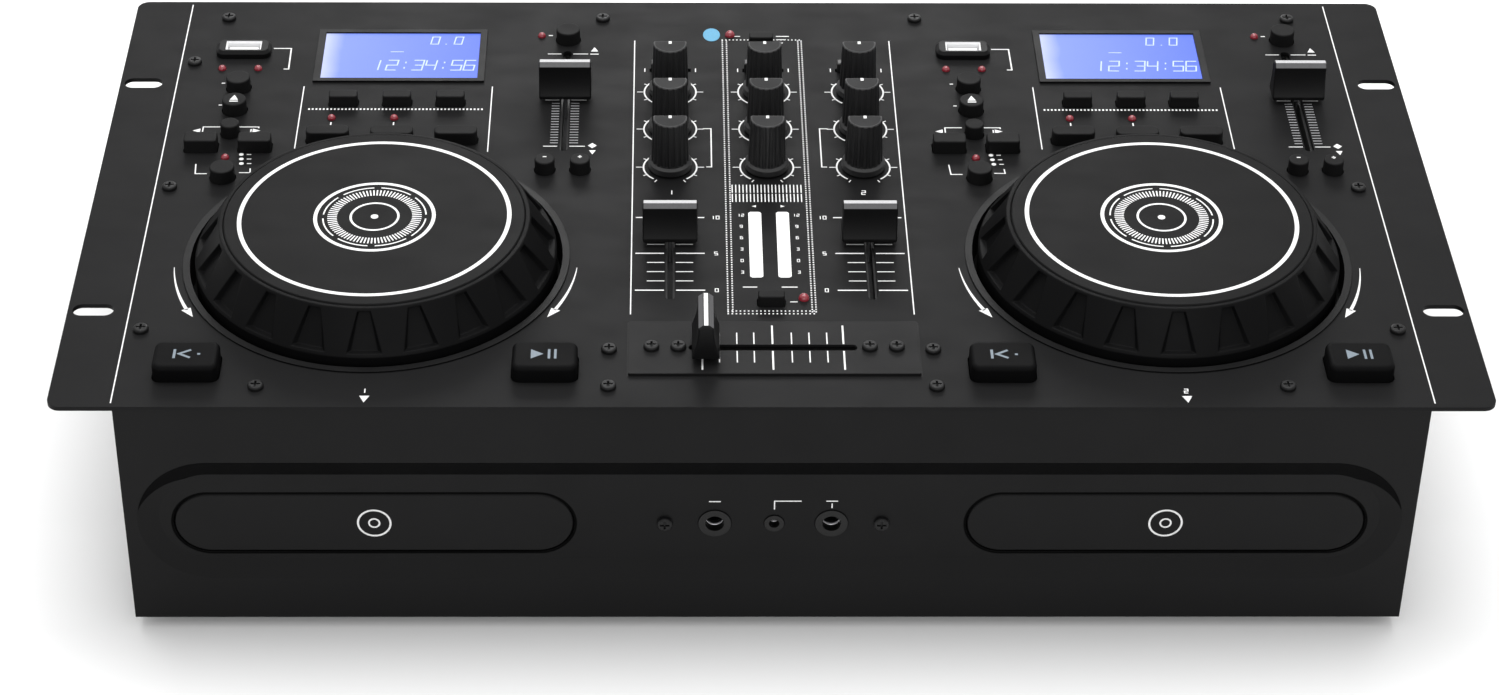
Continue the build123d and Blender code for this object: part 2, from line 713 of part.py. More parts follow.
with BuildPart() as front_panel:
    with BuildSketch(front_plane(FRONT_Y)):
        with Locations((0, FACE_MID_Z)):
            Rectangle(BODY_W, BODY_H)
    extrude(amount=-FACE_T)
    loft(dished_slot(FRONT_Y + FACE_T), ruled=True)
    loft(dished_slot(FRONT_Y), ruled=True, mode=Mode.SUBTRACT)
    with BuildSketch(front_plane(RECESS_FLOOR_Y)):
        with Locations(*[(x, DOOR_Z) for x in TRAYS.values()]):
            SlotOverall(DOOR_W + 2 * DOOR_GAP, DOOR_H + 2 * DOOR_GAP)
    extrude(amount=-FACE_T, mode=Mode.SUBTRACT)
    for places, radius in FACE_HOLES:
        extrude(face_circles(places, radius, RECESS_FLOOR_Y), amount=-FACE_T, mode=Mode.SUBTRACT)
    with BuildSketch(Plane.XY.offset(UNDER_Z - SHEET)):
        with Locations((0, FRONT_Y + FLANGE_W / 2)):
            Rectangle(BODY_W - 2 * FLANGE_W - 2 * FLANGE_GAP, FLANGE_W)
        cut_circles(FRONT_SCREWS, SCREW_HOLE_R)
    extrude(amount=SHEET)
save(front_panel, "front_panel")

# ---------------------------------------------------------------- crossfader plate
with BuildPart() as crossfader_plate:
    with BuildSketch(Plane.XY.offset(TOP_Z)):
        with Locations((MIXER_X, PLATE_Y)):
            RectangleRounded(PLATE_W, PLATE_D, PLATE_CORNER_R)
        cut_slots([(CROSS_CENTRE_X, CROSS_SLOT_Y)], fader_slot_length(CROSS_TRAVEL), FADER_SLOT_W)
        cut_circles(PLATE_SCREW_PLACES, SCREW_HOLE_R)
    extrude(amount=PLATE_SHEET)
save(crossfader_plate, "crossfader_plate")


# ---------------------------------------------------------------- jog wells
def turned_profile(x, y, points):
    """A closed outline of (radius, z) points, standing beside the upright axis at x, y."""
    with BuildSketch(Plane(origin=(x, y, 0), x_dir=(1, 0, 0), z_dir=(0, -1, 0))) as profile:
        with BuildLine():
            Polyline(*points, close=True)
        make_face()
    return profile.sketch


def upright_axis(x, y):
    return Axis((x, y, 0), (0, 0, 1))


WELL_BORE_R = WELL_WALL_R - WELL_WALL_T
WELL_PROFILE = [
    (0, WELL_FLOOR_Z - WELL_FLOOR_T),
    (WELL_WALL_R, WELL_FLOOR_Z - WELL_FLOOR_T),
    (WELL_WALL_R, TOP_Z),
    (WELL_LIP_R, TOP_Z),
    (WELL_LIP_R, TOP_Z + WELL_LIP_H),
    (WELL_BORE_R, TOP_Z + WELL_LIP_H),
    (WELL_BORE_R, WELL_FLOOR_Z),
    (POST_COLLAR_R, WELL_FLOOR_Z),
    (POST_COLLAR_R, WELL_FLOOR_Z + JOG_FOOT_GAP - SEAT_GAP),
    (POST_R, WELL_FLOOR_Z + JOG_FOOT_GAP - SEAT_GAP),
    (POST_R, WELL_FLOOR_Z + POST_H),
    (0, WELL_FLOOR_Z + POST_H),
]

with BuildPart() as jog_wells:
    for x in DECKS.values():
        revolve(turned_profile(x, JOG_Y, WELL_PROFILE), axis=upright_axis(x, JOG_Y))
save(jog_wells, "jog_wells")

# ---------------------------------------------------------------- jog wheels
JOG_FOOT_Z = WELL_FLOOR_Z + JOG_FOOT_GAP
JOG_RIM_TOP_Z = TOP_Z + JOG_RIM_Z
JOG_SHOULDER_Z = TOP_Z + JOG_H - PLATE_PROUD
PLATE_Z0 = TOP_Z + JOG_H - PLATE_T
JOG_WEB_Z = PLATE_Z0 - JOG_WALL             # underside of the wheel's web
FLARE_LEAN = (JOG_R - JOG_TOP_R) / (JOG_SHOULDER_Z - JOG_RIM_TOP_Z)
JOG_BORE_R = POST_R + JOG_BORE_CLEARANCE
JOG_PROFILE = [
    (JOG_BORE_R, JOG_FOOT_Z),
    (JOG_HUB_R, JOG_FOOT_Z),
    (JOG_HUB_R, JOG_WEB_Z),
    (JOG_TOP_R - JOG_WALL, JOG_WEB_Z),
    (JOG_R - JOG_WALL, JOG_RIM_TOP_Z - JOG_WALL),
    (JOG_R - JOG_WALL, JOG_FOOT_Z),
    (JOG_R, JOG_FOOT_Z),
    (JOG_R, JOG_RIM_TOP_Z),
    (JOG_TOP_R, JOG_SHOULDER_Z),
    (PLATE_R + PLATE_GAP, JOG_SHOULDER_Z),
    (PLATE_R + PLATE_GAP, PLATE_Z0),
    (JOG_BORE_R, PLATE_Z0),
]


def dent_outline(x, angle, height, width):
    """One level of a dent: a trapezoid that is cut into the flare at a height above its foot."""
    reach = JOG_R - height * FLARE_LEAN
    outward = Vector(cos(radians(angle)), sin(radians(angle)), 0)
    across = Vector(-sin(radians(angle)), cos(radians(angle)), 0)
    origin = Vector(x, JOG_Y, JOG_RIM_TOP_Z + height) + outward * reach
    with BuildSketch(Plane(origin=origin, x_dir=across, z_dir=(0, 0, 1))) as outline:
        with BuildLine():
            Polyline(
                (-width / 2, -JOG_DENT_OVERRUN),
                (width / 2, -JOG_DENT_OVERRUN),
                (width / 4, JOG_DENT_DEPTH),
                (-width / 4, JOG_DENT_DEPTH),
                close=True,
            )
        make_face()
    return outline.sketch


def jog_dent(x, angle):
    low = dent_outline(x, angle, JOG_DENT_MARGIN, JOG_DENT_FOOT_W)
    high_level = JOG_SHOULDER_Z - JOG_RIM_TOP_Z - JOG_DENT_MARGIN
    return [low, dent_outline(x, angle, high_level, JOG_DENT_TOP_W)]


for deck, x in DECKS.items():
    with BuildPart() as jog_wheel:
        revolve(turned_profile(x, JOG_Y, JOG_PROFILE), axis=upright_axis(x, JOG_Y))
        for step in range(JOG_DENTS):
            loft(jog_dent(x, step * 360 / JOG_DENTS), ruled=True, mode=Mode.SUBTRACT)
    save(jog_wheel, f"jog_wheel_{deck}")

    with BuildPart() as jog_plate:
        with BuildSketch(Plane.XY.offset(PLATE_Z0)):
            with Locations((x, JOG_Y)):
                Circle(PLATE_R)
        extrude(amount=PLATE_T)
        chamfer(jog_plate.edges().group_by(Axis.Z)[-1], PLATE_CHAMFER)
    save(jog_plate, f"jog_plate_{deck}")

# ---------------------------------------------------------------- keys
LIP_Z = UNDER_Z - KEY_LIP_GAP - KEY_LIP_T


def bar_outline(places, width, depth, corner):
    with BuildSketch(Plane.XY.offset(LIP_Z)) as outline:
        with Locations(*places):
            RectangleRounded(width, depth, corner)
    return outline.sketch


def lip_outline(places, width, depth, corner):
    return plan_boxes(places, width + 2 * KEY_LIP_W, depth - 2 * corner, LIP_Z)


def save_keys(label, places, outline, lip, height, edge, travel=KEY_TRAVEL):
    """Keys with a retaining lip below the panel and a stem over a switch."""
    stem_end_z = BOARD_Z + SWITCH_BUTTON_H + travel + SWITCH_BUTTON_GAP
    with BuildPart() as keys:
        extrude(outline, amount=TOP_Z + height - LIP_Z)
        fillet(keys.edges().group_by(Axis.Z)[-1], edge)
        extrude(lip, amount=KEY_LIP_T)
        extrude(plan_circles(places, KEY_STEM_R, LIP_Z), amount=stem_end_z - LIP_Z)
    save(keys, label)


def save_round_keys(label, places, radius):
    lip = plan_circles(places, radius + KEY_LIP_W, LIP_Z)
    save_keys(label, places, plan_circles(places, radius, LIP_Z), lip, ROUND_KEY_H, KEY_FILLET)


def save_bar_keys(label, places, width, depth, corner, height, edge, travel=KEY_TRAVEL):
    outline = bar_outline(places, width, depth, corner)
    lip = lip_outline(places, width, depth, corner)
    save_keys(label, places, outline, lip, height, edge, travel)


def save_track_keys(label, x):
    centre = shifted([TRACK_KEY], x)
    sides = shifted(SKIP_KEYS, x)
    outline = plan_circles(centre, TRACK_KEY_R, LIP_Z)
    outline += bar_outline(sides, SKIP_KEY_W, SKIP_KEY_D, BAR_KEY_R)
    lip = plan_circles(centre, TRACK_KEY_R + KEY_LIP_W, LIP_Z)
    lip += lip_outline(sides, SKIP_KEY_W, SKIP_KEY_D, BAR_KEY_R)
    save_keys(label, centre + sides, outline, lip, ROUND_KEY_H, KEY_FILLET)


for deck, x in DECKS.items():
    save_round_keys(f"select_key_{deck}", shifted([SELECT_KEY], x), ROUND_KEY_R)
    save_round_keys(f"eject_key_{deck}", shifted([EJECT_KEY], x), ROUND_KEY_R)
    save_round_keys(f"jog_mode_key_{deck}", shifted([JOG_MODE_KEY], x), ROUND_KEY_R)
    save_round_keys(f"pitch_key_{deck}", shifted([PITCH_KEY], x), ROUND_KEY_R)
    save_round_keys(f"bend_keys_{deck}", shifted(BEND_KEYS, x), BEND_KEY_R)
    save_track_keys(f"track_keys_{deck}", x)
    save_bar_keys(
        f"display_keys_{deck}", shifted(DISPLAY_KEYS, x),
        DISPLAY_KEY_W, DISPLAY_KEY_D, BAR_KEY_R, DISPLAY_KEY_H, KEY_FILLET,
    )
    save_bar_keys(
        f"loop_keys_{deck}", shifted(LOOP_KEYS, x),
        LOOP_KEY_W, LOOP_KEY_D, LOOP_KEY_R, ROUND_KEY_H, KEY_FILLET,
    )
    for name, place in (("cue", CUE_KEY), ("play", PLAY_KEY)):
        save_bar_keys(
            f"{name}_key_{deck}", shifted([place], x),
            START_KEY_W, START_KEY_D, START_KEY_R, START_KEY_H, START_KEY_FILLET, START_KEY_TRAVEL,
        )

save_bar_keys("mixer_keys", MIXER_KEYS, MIXER_KEY_W, MIXER_KEY_D, BAR_KEY_R, MIXER_KEY_H, KEY_FILLET)

# ---------------------------------------------------------------- faders
FADER_BODY_TOP_Z = UNDER_Z - FADER_BODY_DROP
FADER_FLOOR_Z = BOARD_Z + FADER_BODY_FLOOR
BLADE_Z0 = FADER_FLOOR_Z + SEAT_GAP


def cap_profile(plane, surface_z):
    """End view of a fader cap: hollow faces for the finger and a ridge on top."""
    z0 = surface_z + FADER_CAP_GAP
    top = z0 + FADER_CAP_H
    shoulder = top - FADER_CAP_BEVEL
    foot = z0 + FADER_CAP_FOOT
    waist = foot + FADER_CAP_WAIST
    with BuildSketch(plane) as profile:
        with BuildLine():
            Polyline((-FADER_CAP_BASE / 2, foot), (-FADER_CAP_BASE / 2, z0), (FADER_CAP_BASE / 2, z0),
                     (FADER_CAP_BASE / 2, foot))
            ThreePointArc((FADER_CAP_BASE / 2, foot), (FADER_CAP_WAIST_W / 2, waist),
                          (FADER_CAP_TOP / 2, shoulder))
            Polyline((FADER_CAP_TOP / 2, shoulder), (FADER_CAP_RIDGE / 2, top),
                     (-FADER_CAP_RIDGE / 2, top), (-FADER_CAP_TOP / 2, shoulder))
            ThreePointArc((-FADER_CAP_TOP / 2, shoulder), (-FADER_CAP_WAIST_W / 2, waist),
                          (-FADER_CAP_BASE / 2, foot))
        make_face()
    return profile.sketch


def blade_outline(x, y, along_x):
    width, depth = (FADER_BLADE_W, FADER_BLADE_T) if along_x else (FADER_BLADE_T, FADER_BLADE_W)
    with BuildSketch(Plane.XY.offset(BLADE_Z0)) as outline:
        with Locations((x, y)):
            Rectangle(width, depth)
    return outline.sketch


def save_fader(label, x, y, surface_z, along_x=False):
    """A cap on a metal blade that dips into the fader's body."""
    if along_x:
        plane = Plane(origin=(x, y, 0), x_dir=(1, 0, 0), z_dir=(0, -1, 0))
    else:
        plane = Plane(origin=(x, y, 0), x_dir=(0, 1, 0), z_dir=(1, 0, 0))
    with BuildPart() as fader:
        extrude(cap_profile(plane, surface_z), amount=FADER_CAP_L / 2, both=True)
        ends = fader.faces().sort_by(Axis(plane.origin, plane.z_dir))
        chamfer(ends[0].edges() + ends[-1].edges(), FADER_CAP_EDGE)
        extrude(blade_outline(x, y, along_x), amount=surface_z + FADER_CAP_GAP - BLADE_Z0)
    save(fader, label)


for deck, x in DECKS.items():
    save_fader(f"pitch_fader_{deck}", x + PITCH_X, PITCH_CENTRE_Y + PITCH_REST, TOP_Z)
for channel, x in CHANNELS.items():
    save_fader(f"channel_fader_{channel}", x, CHANNEL_CENTRE_Y + CHANNEL_REST, TOP_Z)
save_fader("crossfader", CROSS_CENTRE_X + CROSS_REST, CROSS_SLOT_Y, TOP_Z + PLATE_SHEET, along_x=True)

# ---------------------------------------------------------------- knobs
KNOB_Z0 = TOP_Z + KNOB_GAP
KNOB_TOP_Z = TOP_Z + KNOB_H
POT_TOP_Z = BOARD_Z + POT_H
SHAFT_END_Z = POT_TOP_Z - POT_HOLE_DEPTH + SEAT_GAP
KNOB_PROFILE = [
    (0, SHAFT_END_Z),
    (SHAFT_R, SHAFT_END_Z),
    (SHAFT_R, KNOB_Z0),
    (KNOB_BASE_R, KNOB_Z0),
    (KNOB_BASE_R, KNOB_Z0 + KNOB_SKIRT_H),
    (KNOB_WAIST_R, KNOB_Z0 + KNOB_SKIRT_H + KNOB_SKIRT_RUN),
    (KNOB_TOP_R, KNOB_TOP_Z - KNOB_EDGE),
    (KNOB_TOP_R - KNOB_EDGE, KNOB_TOP_Z),
    (0, KNOB_TOP_Z),
]


def pointer_cut(x, y):
    """Side view of what the sloping pointer face takes off the rear of the knob."""
    reach = KNOB_BASE_R
    drop = (reach - KNOB_CUT_Y) * tan(radians(KNOB_CUT_SLOPE))
    with BuildSketch(Plane(origin=(x, y, 0), x_dir=(0, 1, 0), z_dir=(1, 0, 0))) as outline:
        with BuildLine():
            Polyline((KNOB_CUT_Y, KNOB_TOP_Z), (reach, KNOB_TOP_Z), (reach, KNOB_TOP_Z - drop), close=True)
        make_face()
    return outline.sketch


def flute_outline(x, y):
    with BuildSketch(Plane.XY.offset(KNOB_Z0 + KNOB_SKIRT_H + KNOB_SKIRT_RUN)) as outline:
        with Locations((x, y)):
            with PolarLocations(KNOB_WAIST_R, KNOB_FLUTES):
                Circle(KNOB_FLUTE_R)
    return outline.sketch


for name, (x, y) in KNOBS.items():
    with BuildPart() as knob:
        revolve(turned_profile(x, y, KNOB_PROFILE), axis=upright_axis(x, y))
        extrude(flute_outline(x, y), amount=KNOB_H, mode=Mode.SUBTRACT)
        extrude(pointer_cut(x, y), amount=KNOB_BASE_R, both=True, mode=Mode.SUBTRACT)
    save(knob, f"knob_{name}")

# ---------------------------------------------------------------- source levers
LEVER_STEM_Z = FADER_FLOOR_Z + SEAT_GAP
LEVER_REST = [(x - LEVER_TRAVEL / 2, y) for x, y in LEVER_CENTRES]

with BuildPart() as source_levers:
    extrude(plan_boxes(LEVER_REST, LEVER_W, LEVER_D, TOP_Z + LEVER_LIFT), amount=LEVER_H - LEVER_LIFT)
    chamfer(source_levers.edges().group_by(Axis.Z)[-1], KNOB_EDGE)
    extrude(plan_boxes(LEVER_REST, LEVER_W, LEVER_STEM_D, LEVER_STEM_Z),
            amount=TOP_Z + LEVER_LIFT - LEVER_STEM_Z)
save(source_levers, "source_levers")

# ---------------------------------------------------------------- displays, meters and lamps
GLASS_TOP_Z = TOP_Z + DISPLAY_FRAME_PROUD - DISPLAY_GLASS_SUNK
DISPLAY_PLACES = [(x + DISPLAY_X, DISPLAY_Y) for x in DECKS.values()]

with BuildPart() as displays_and_lamps:
    extrude(plan_circles(LAMP_PLACES, LAMP_R, BOARD_Z), amount=BOARD_DROP + LAMP_PROUD)
    fillet(displays_and_lamps.edges().group_by(Axis.Z)[-1], LAMP_ROUND)
    extrude(plan_boxes(METER_PLACES, METER_W, METER_L, BOARD_Z), amount=BOARD_DROP)
    extrude(plan_boxes(DISPLAY_PLACES, DISPLAY_HOLE_W - 2 * LAMP_GAP, DISPLAY_HOLE_D - 2 * LAMP_GAP, BOARD_Z),
            amount=TOP_Z - BOARD_Z)
    extrude(plan_boxes(DISPLAY_PLACES, DISPLAY_FRAME_W, DISPLAY_FRAME_D, TOP_Z), amount=DISPLAY_FRAME_PROUD)
    extrude(plan_boxes(DISPLAY_PLACES, DISPLAY_GLASS_W, DISPLAY_GLASS_D, GLASS_TOP_Z),
            amount=DISPLAY_GLASS_SUNK, mode=Mode.SUBTRACT)
save(displays_and_lamps, "displays_and_lamps")

# ---------------------------------------------------------------- memory stick sockets
USB_TOP_Z = TOP_Z + USB_BEZEL_H
SHELL_TOP_Z = USB_TOP_Z - USB_SHELL_SUNK
SHELL_BORE_W = USB_SHELL_W - 2 * USB_SHELL_T
SHELL_BORE_D = USB_SHELL_D - 2 * USB_SHELL_T
USB_PLACES = [(x + USB_X, USB_Y) for x in DECKS.values()]

with BuildPart() as usb_sockets:
    with BuildSketch(Plane.XY.offset(TOP_Z)):
        with Locations(*USB_PLACES):
            RectangleRounded(USB_BEZEL_W, USB_BEZEL_D, USB_BEZEL_R)
    extrude(amount=USB_BEZEL_H)
    chamfer(usb_sockets.edges().group_by(Axis.Z)[-1], USB_CHAMFER)
    extrude(plan_boxes(USB_PLACES, USB_SHELL_W, USB_SHELL_D, SHELL_TOP_Z), amount=USB_SHELL_SUNK,
            mode=Mode.SUBTRACT)
    extrude(plan_boxes(USB_PLACES, USB_SHELL_W, USB_SHELL_D, BOARD_Z), amount=TOP_Z - BOARD_Z)
    extrude(plan_boxes(USB_PLACES, SHELL_BORE_W, SHELL_BORE_D, BOARD_Z + USB_SHELL_T),
            amount=SHELL_TOP_Z - BOARD_Z, mode=Mode.SUBTRACT)
    extrude(plan_boxes(USB_PLACES, USB_TONGUE_W, USB_TONGUE_D, BOARD_Z),
            amount=USB_TOP_Z - USB_TONGUE_SUNK - BOARD_Z)
save(usb_sockets, "usb_sockets")

# ---------------------------------------------------------------- front jacks
BRACKET_Y = RECESS_FLOOR_Y + FACE_T
COLLAR_Y = RECESS_FLOOR_Y - JACK_COLLAR_PROUD
BRACKET_PLACE = [((JACK_SCREWS[0] + JACK_SCREWS[1]) / 2, JACK_Z)]
JACK_KINDS = [
    (LARGE_JACK_PLACES, LARGE_JACK_R, LARGE_JACK_BORE_R, LARGE_JACK_DEPTH),
    (SMALL_JACK_PLACES, SMALL_JACK_R, SMALL_JACK_BORE_R, SMALL_JACK_DEPTH),
]

with BuildPart() as front_jacks:
    for places, collar_r, bore_r, depth in JACK_KINDS:
        extrude(face_circles(places, collar_r, COLLAR_Y), amount=COLLAR_Y - BRACKET_Y)
        extrude(face_boxes(places, JACK_BODY_W, JACK_BODY_W, BRACKET_Y), amount=-depth)
    extrude(face_boxes(BRACKET_PLACE, BRACKET_W, BRACKET_H, BRACKET_Y), amount=-BRACKET_T)
    for places, collar_r, bore_r, depth in JACK_KINDS:
        extrude(face_circles(places, bore_r, COLLAR_Y), amount=-depth, mode=Mode.SUBTRACT)
    extrude(face_circles(JACK_SCREW_PLACES, SCREW_HOLE_R, BRACKET_Y), amount=-BRACKET_T,
            mode=Mode.SUBTRACT)
save(front_jacks, "front_jacks")

# ---------------------------------------------------------------- trays and doors
RACK_Y0 = GEAR_Y - RACK_LEAD
RACK_Y1 = GEAR_Y + TRAY_TRAVEL + RACK_LEAD
RACK_ROOT_X = RACK_LINE_X - GEAR_DEDENDUM
TOOTH_LEAN = tan(radians(PRESSURE_ANGLE))


def rack_tooth(x, y):
    """One straight-sided tooth, as points from its root to its tip and back."""
    half = TOOTH_SHARE * GEAR_PITCH / 2
    root = half + GEAR_DEDENDUM * TOOTH_LEAN
    tip = half - GEAR_ADDENDUM * TOOTH_LEAN
    return [
        (x + RACK_ROOT_X, y - root),
        (x + RACK_LINE_X + GEAR_ADDENDUM, y - tip),
        (x + RACK_LINE_X + GEAR_ADDENDUM, y + tip),
        (x + RACK_ROOT_X, y + root),
    ]


def rack_outline(x):
    """A strip under the tray whose teeth point at the gear; a space meets the gear's first tooth."""
    points = [(x + RACK_X, RACK_Y0), (x + RACK_ROOT_X, RACK_Y0)]
    first = -int(RACK_LEAD / GEAR_PITCH)
    last = int((TRAY_TRAVEL + RACK_LEAD) / GEAR_PITCH)
    for step in range(first, last):
        points += rack_tooth(x, GEAR_Y + (step + 0.5) * GEAR_PITCH)
    points += [(x + RACK_ROOT_X, RACK_Y1), (x + RACK_X, RACK_Y1)]
    with BuildSketch(Plane.XY.offset(GEAR_Z0)) as outline:
        with BuildLine():
            Polyline(*points, close=True)
        make_face()
    return outline.sketch


def involute(angle):
    return tan(angle) - angle


def gear_outline(x):
    """Involute teeth about the gear's axis, the first one pointing at the rack."""
    base_r = GEAR_R * cos(radians(PRESSURE_ANGLE))
    tip_r = GEAR_R + GEAR_ADDENDUM
    levels = [base_r + (tip_r - base_r) * step / FLANK_STEPS for step in range(FLANK_STEPS + 1)]
    half = TOOTH_SHARE * pi / GEAR_TEETH + involute(radians(PRESSURE_ANGLE))
    flank = [(GEAR_R - GEAR_DEDENDUM, half)]
    flank += [(r, half - involute(acos(base_r / r))) for r in levels]
    points = []
    for tooth in range(GEAR_TEETH):
        middle = pi + tooth * 2 * pi / GEAR_TEETH
        rising = [(r, middle - angle) for r, angle in flank]
        falling = [(r, middle + angle) for r, angle in reversed(flank)]
        for r, angle in rising + falling:
            points.append((x + GEAR_X + r * cos(angle), GEAR_Y + r * sin(angle)))
    with BuildSketch(Plane.XY.offset(GEAR_Z0)) as outline:
        with BuildLine():
            Polyline(*points, close=True)
        make_face()
        cut_circles([(x + GEAR_X, GEAR_Y)], GEAR_PIN_R + RUN_CLEARANCE)
    return outline.sketch


for deck, x in TRAYS.items():
    with BuildPart() as tray:
        with BuildSketch(Plane.XY.offset(TRAY_Z0)):
            with Locations((x, TRAY_Y0 + TRAY_L / 2)):
                Rectangle(TRAY_W, TRAY_L)
            cut_circles([(x, DISC_Y)], SPINDLE_SLOT_W / 2)
            cut_boxes([(x, DISC_Y + SPINDLE_SLOT_L / 2)], SPINDLE_SLOT_W, SPINDLE_SLOT_L)
        extrude(amount=TRAY_T)
        fillet(tray.edges().filter_by(Axis.Z).group_by(Axis.Y)[-1], TRAY_CORNER_R)
        extrude(plan_circles([(x, DISC_Y)], DISC_R, TRAY_Z0 + TRAY_T), amount=-DISC_RECESS,
                mode=Mode.SUBTRACT)
        extrude(plan_circles([(x, DISC_Y)], SMALL_DISC_R, TRAY_Z0 + TRAY_T), amount=-SMALL_DISC_RECESS,
                mode=Mode.SUBTRACT)
        extrude(rack_outline(x), amount=RACK_H)
    save(tray, f"tray_{deck}")

    with BuildPart() as tray_door:
        with BuildSketch(front_plane(RECESS_FLOOR_Y)):
            with Locations((x, DOOR_Z)):
                SlotOverall(DOOR_W, DOOR_H)
        extrude(amount=-DOOR_T)
        chamfer(tray_door.edges().group_by(Axis.Y)[0], DOOR_EDGE)
    save(tray_door, f"tray_door_{deck}")

    with BuildPart() as loading_gear:
        extrude(gear_outline(x), amount=GEAR_H)
    save(loading_gear, f"loading_gear_{deck}")

# ---------------------------------------------------------------- disc mechanisms
FRAME_TOP_Z = FRAME_Z + FRAME_T
RAIL_X = TRAY_W / 2 + RAIL_GAP              # rail's inner face, from the tray's middle
FRAME_W = 2 * (RAIL_X + RAIL_T)
FRAME_Y0 = TRAY_Y0 + FRAME_FROM_DOOR
FRAME_MID_Y = FRAME_Y0 + FRAME_L / 2
ROD_Y0 = DISC_Y + ROD_FROM_DISC
ROD_Y1 = ROD_Y0 + ROD_L
SLED_Y = DISC_Y + SLED_FROM_DISC
LEDGE_TOP_Z = TRAY_Z0 - SEAT_GAP
LIP_BOTTOM_Z = TRAY_Z0 + TRAY_T + SEAT_GAP
RAIL_TOP_Z = LIP_BOTTOM_Z + RAIL_LIP_T
HUB_TOP_Z = TRAY_Z0 - HUB_TOP_GAP
SLED_Z0 = ROD_Z - SLED_H / 2
BRACE_W = 2 * (ROD_X + ROD_MARGIN)


def rail_profile(x, side):
    """End view of one rail: a wall with a ledge under the tray and a lip over it."""
    inner = x + side * RAIL_X
    outer = inner + side * RAIL_T
    ledge = inner - side * RAIL_LEDGE
    lip = inner - side * RAIL_LIP
    with BuildSketch(front_plane(FRAME_Y0)) as profile:
        with BuildLine():
            Polyline(
                (outer, FRAME_TOP_Z), (outer, RAIL_TOP_Z), (lip, RAIL_TOP_Z), (lip, LIP_BOTTOM_Z),
                (inner, LIP_BOTTOM_Z), (inner, LEDGE_TOP_Z), (ledge, LEDGE_TOP_Z),
                (ledge, LEDGE_TOP_Z - RAIL_LEDGE_T), (inner, LEDGE_TOP_Z - RAIL_LEDGE_T),
                (inner, FRAME_TOP_Z), close=True,
            )
        make_face()
    return profile.sketch


with BuildPart() as disc_mechanisms:
    for x in TRAYS.values():
        corners = [
            (x + sx * (FRAME_W / 2 - FRAME_POST_INSET), FRAME_MID_Y + sy * (FRAME_L / 2 - FRAME_POST_INSET))
            for sx in (-1, 1)
            for sy in (-1, 1)
        ]
        rods = [(x - ROD_X, ROD_Z), (x + ROD_X, ROD_Z)]
        gear_place = [(x + GEAR_X, GEAR_Y)]
        hub_place = [(x, DISC_Y)]
        extrude(plan_circles(corners, FRAME_POST_R, DECK_Z), amount=FRAME_Z - DECK_Z)
        extrude(plan_boxes([(x, FRAME_MID_Y)], FRAME_W, FRAME_L, FRAME_Z), amount=FRAME_T)
        for side in (-1, 1):
            extrude(rail_profile(x, side), amount=-FRAME_L)
        extrude(plan_circles(hub_place, MOTOR_R, FRAME_TOP_Z), amount=MOTOR_H)
        extrude(plan_circles(hub_place, HUB_R, FRAME_TOP_Z), amount=HUB_TOP_Z - FRAME_TOP_Z)
        extrude(plan_circles([(x + LOAD_MOTOR_X, GEAR_Y)], LOAD_MOTOR_R, FRAME_TOP_Z), amount=MOTOR_H)
        extrude(plan_circles(gear_place, GEAR_COLLAR_R, FRAME_TOP_Z),
                amount=GEAR_Z0 - SEAT_GAP - FRAME_TOP_Z)
        extrude(plan_circles(gear_place, GEAR_PIN_R, FRAME_TOP_Z), amount=GEAR_Z0 + GEAR_H - FRAME_TOP_Z)
        extrude(plan_boxes([(x, ROD_Y0), (x, ROD_Y1)], BRACE_W, BRACE_T, FRAME_TOP_Z),
                amount=ROD_Z + ROD_MARGIN - FRAME_TOP_Z)
        extrude(face_circles(rods, ROD_R, ROD_Y0), amount=-ROD_L)
        extrude(plan_boxes([(x, SLED_Y)], BRACE_W, SLED_D, SLED_Z0), amount=SLED_H)
        extrude(plan_circles([(x, SLED_Y)], LENS_R, SLED_Z0), amount=SLED_H + LENS_PROUD)
save(disc_mechanisms, "disc_mechanisms")

# ---------------------------------------------------------------- rear sockets
WALL_Y = REAR_Y - SHEET                     # inner side of the rear wall
INLET_FACE_Y = REAR_Y + INLET_FLANGE_T
PIVOT_Y = REAR_Y - ROCKER_PIVOT_IN
BLADES = [
    (INLET_X - BLADE_X, INLET_Z - BLADE_Z),
    (INLET_X, INLET_Z + BLADE_Z),
    (INLET_X + BLADE_X, INLET_Z - BLADE_Z),
]


def side_circle(radius):
    """A circle about the rocker's pin, seen from the side."""
    with BuildSketch(side_plane(ROCKER_X)) as outline:
        with Locations((PIVOT_Y, ROCKER_Z)):
            Circle(radius)
    return outline.sketch


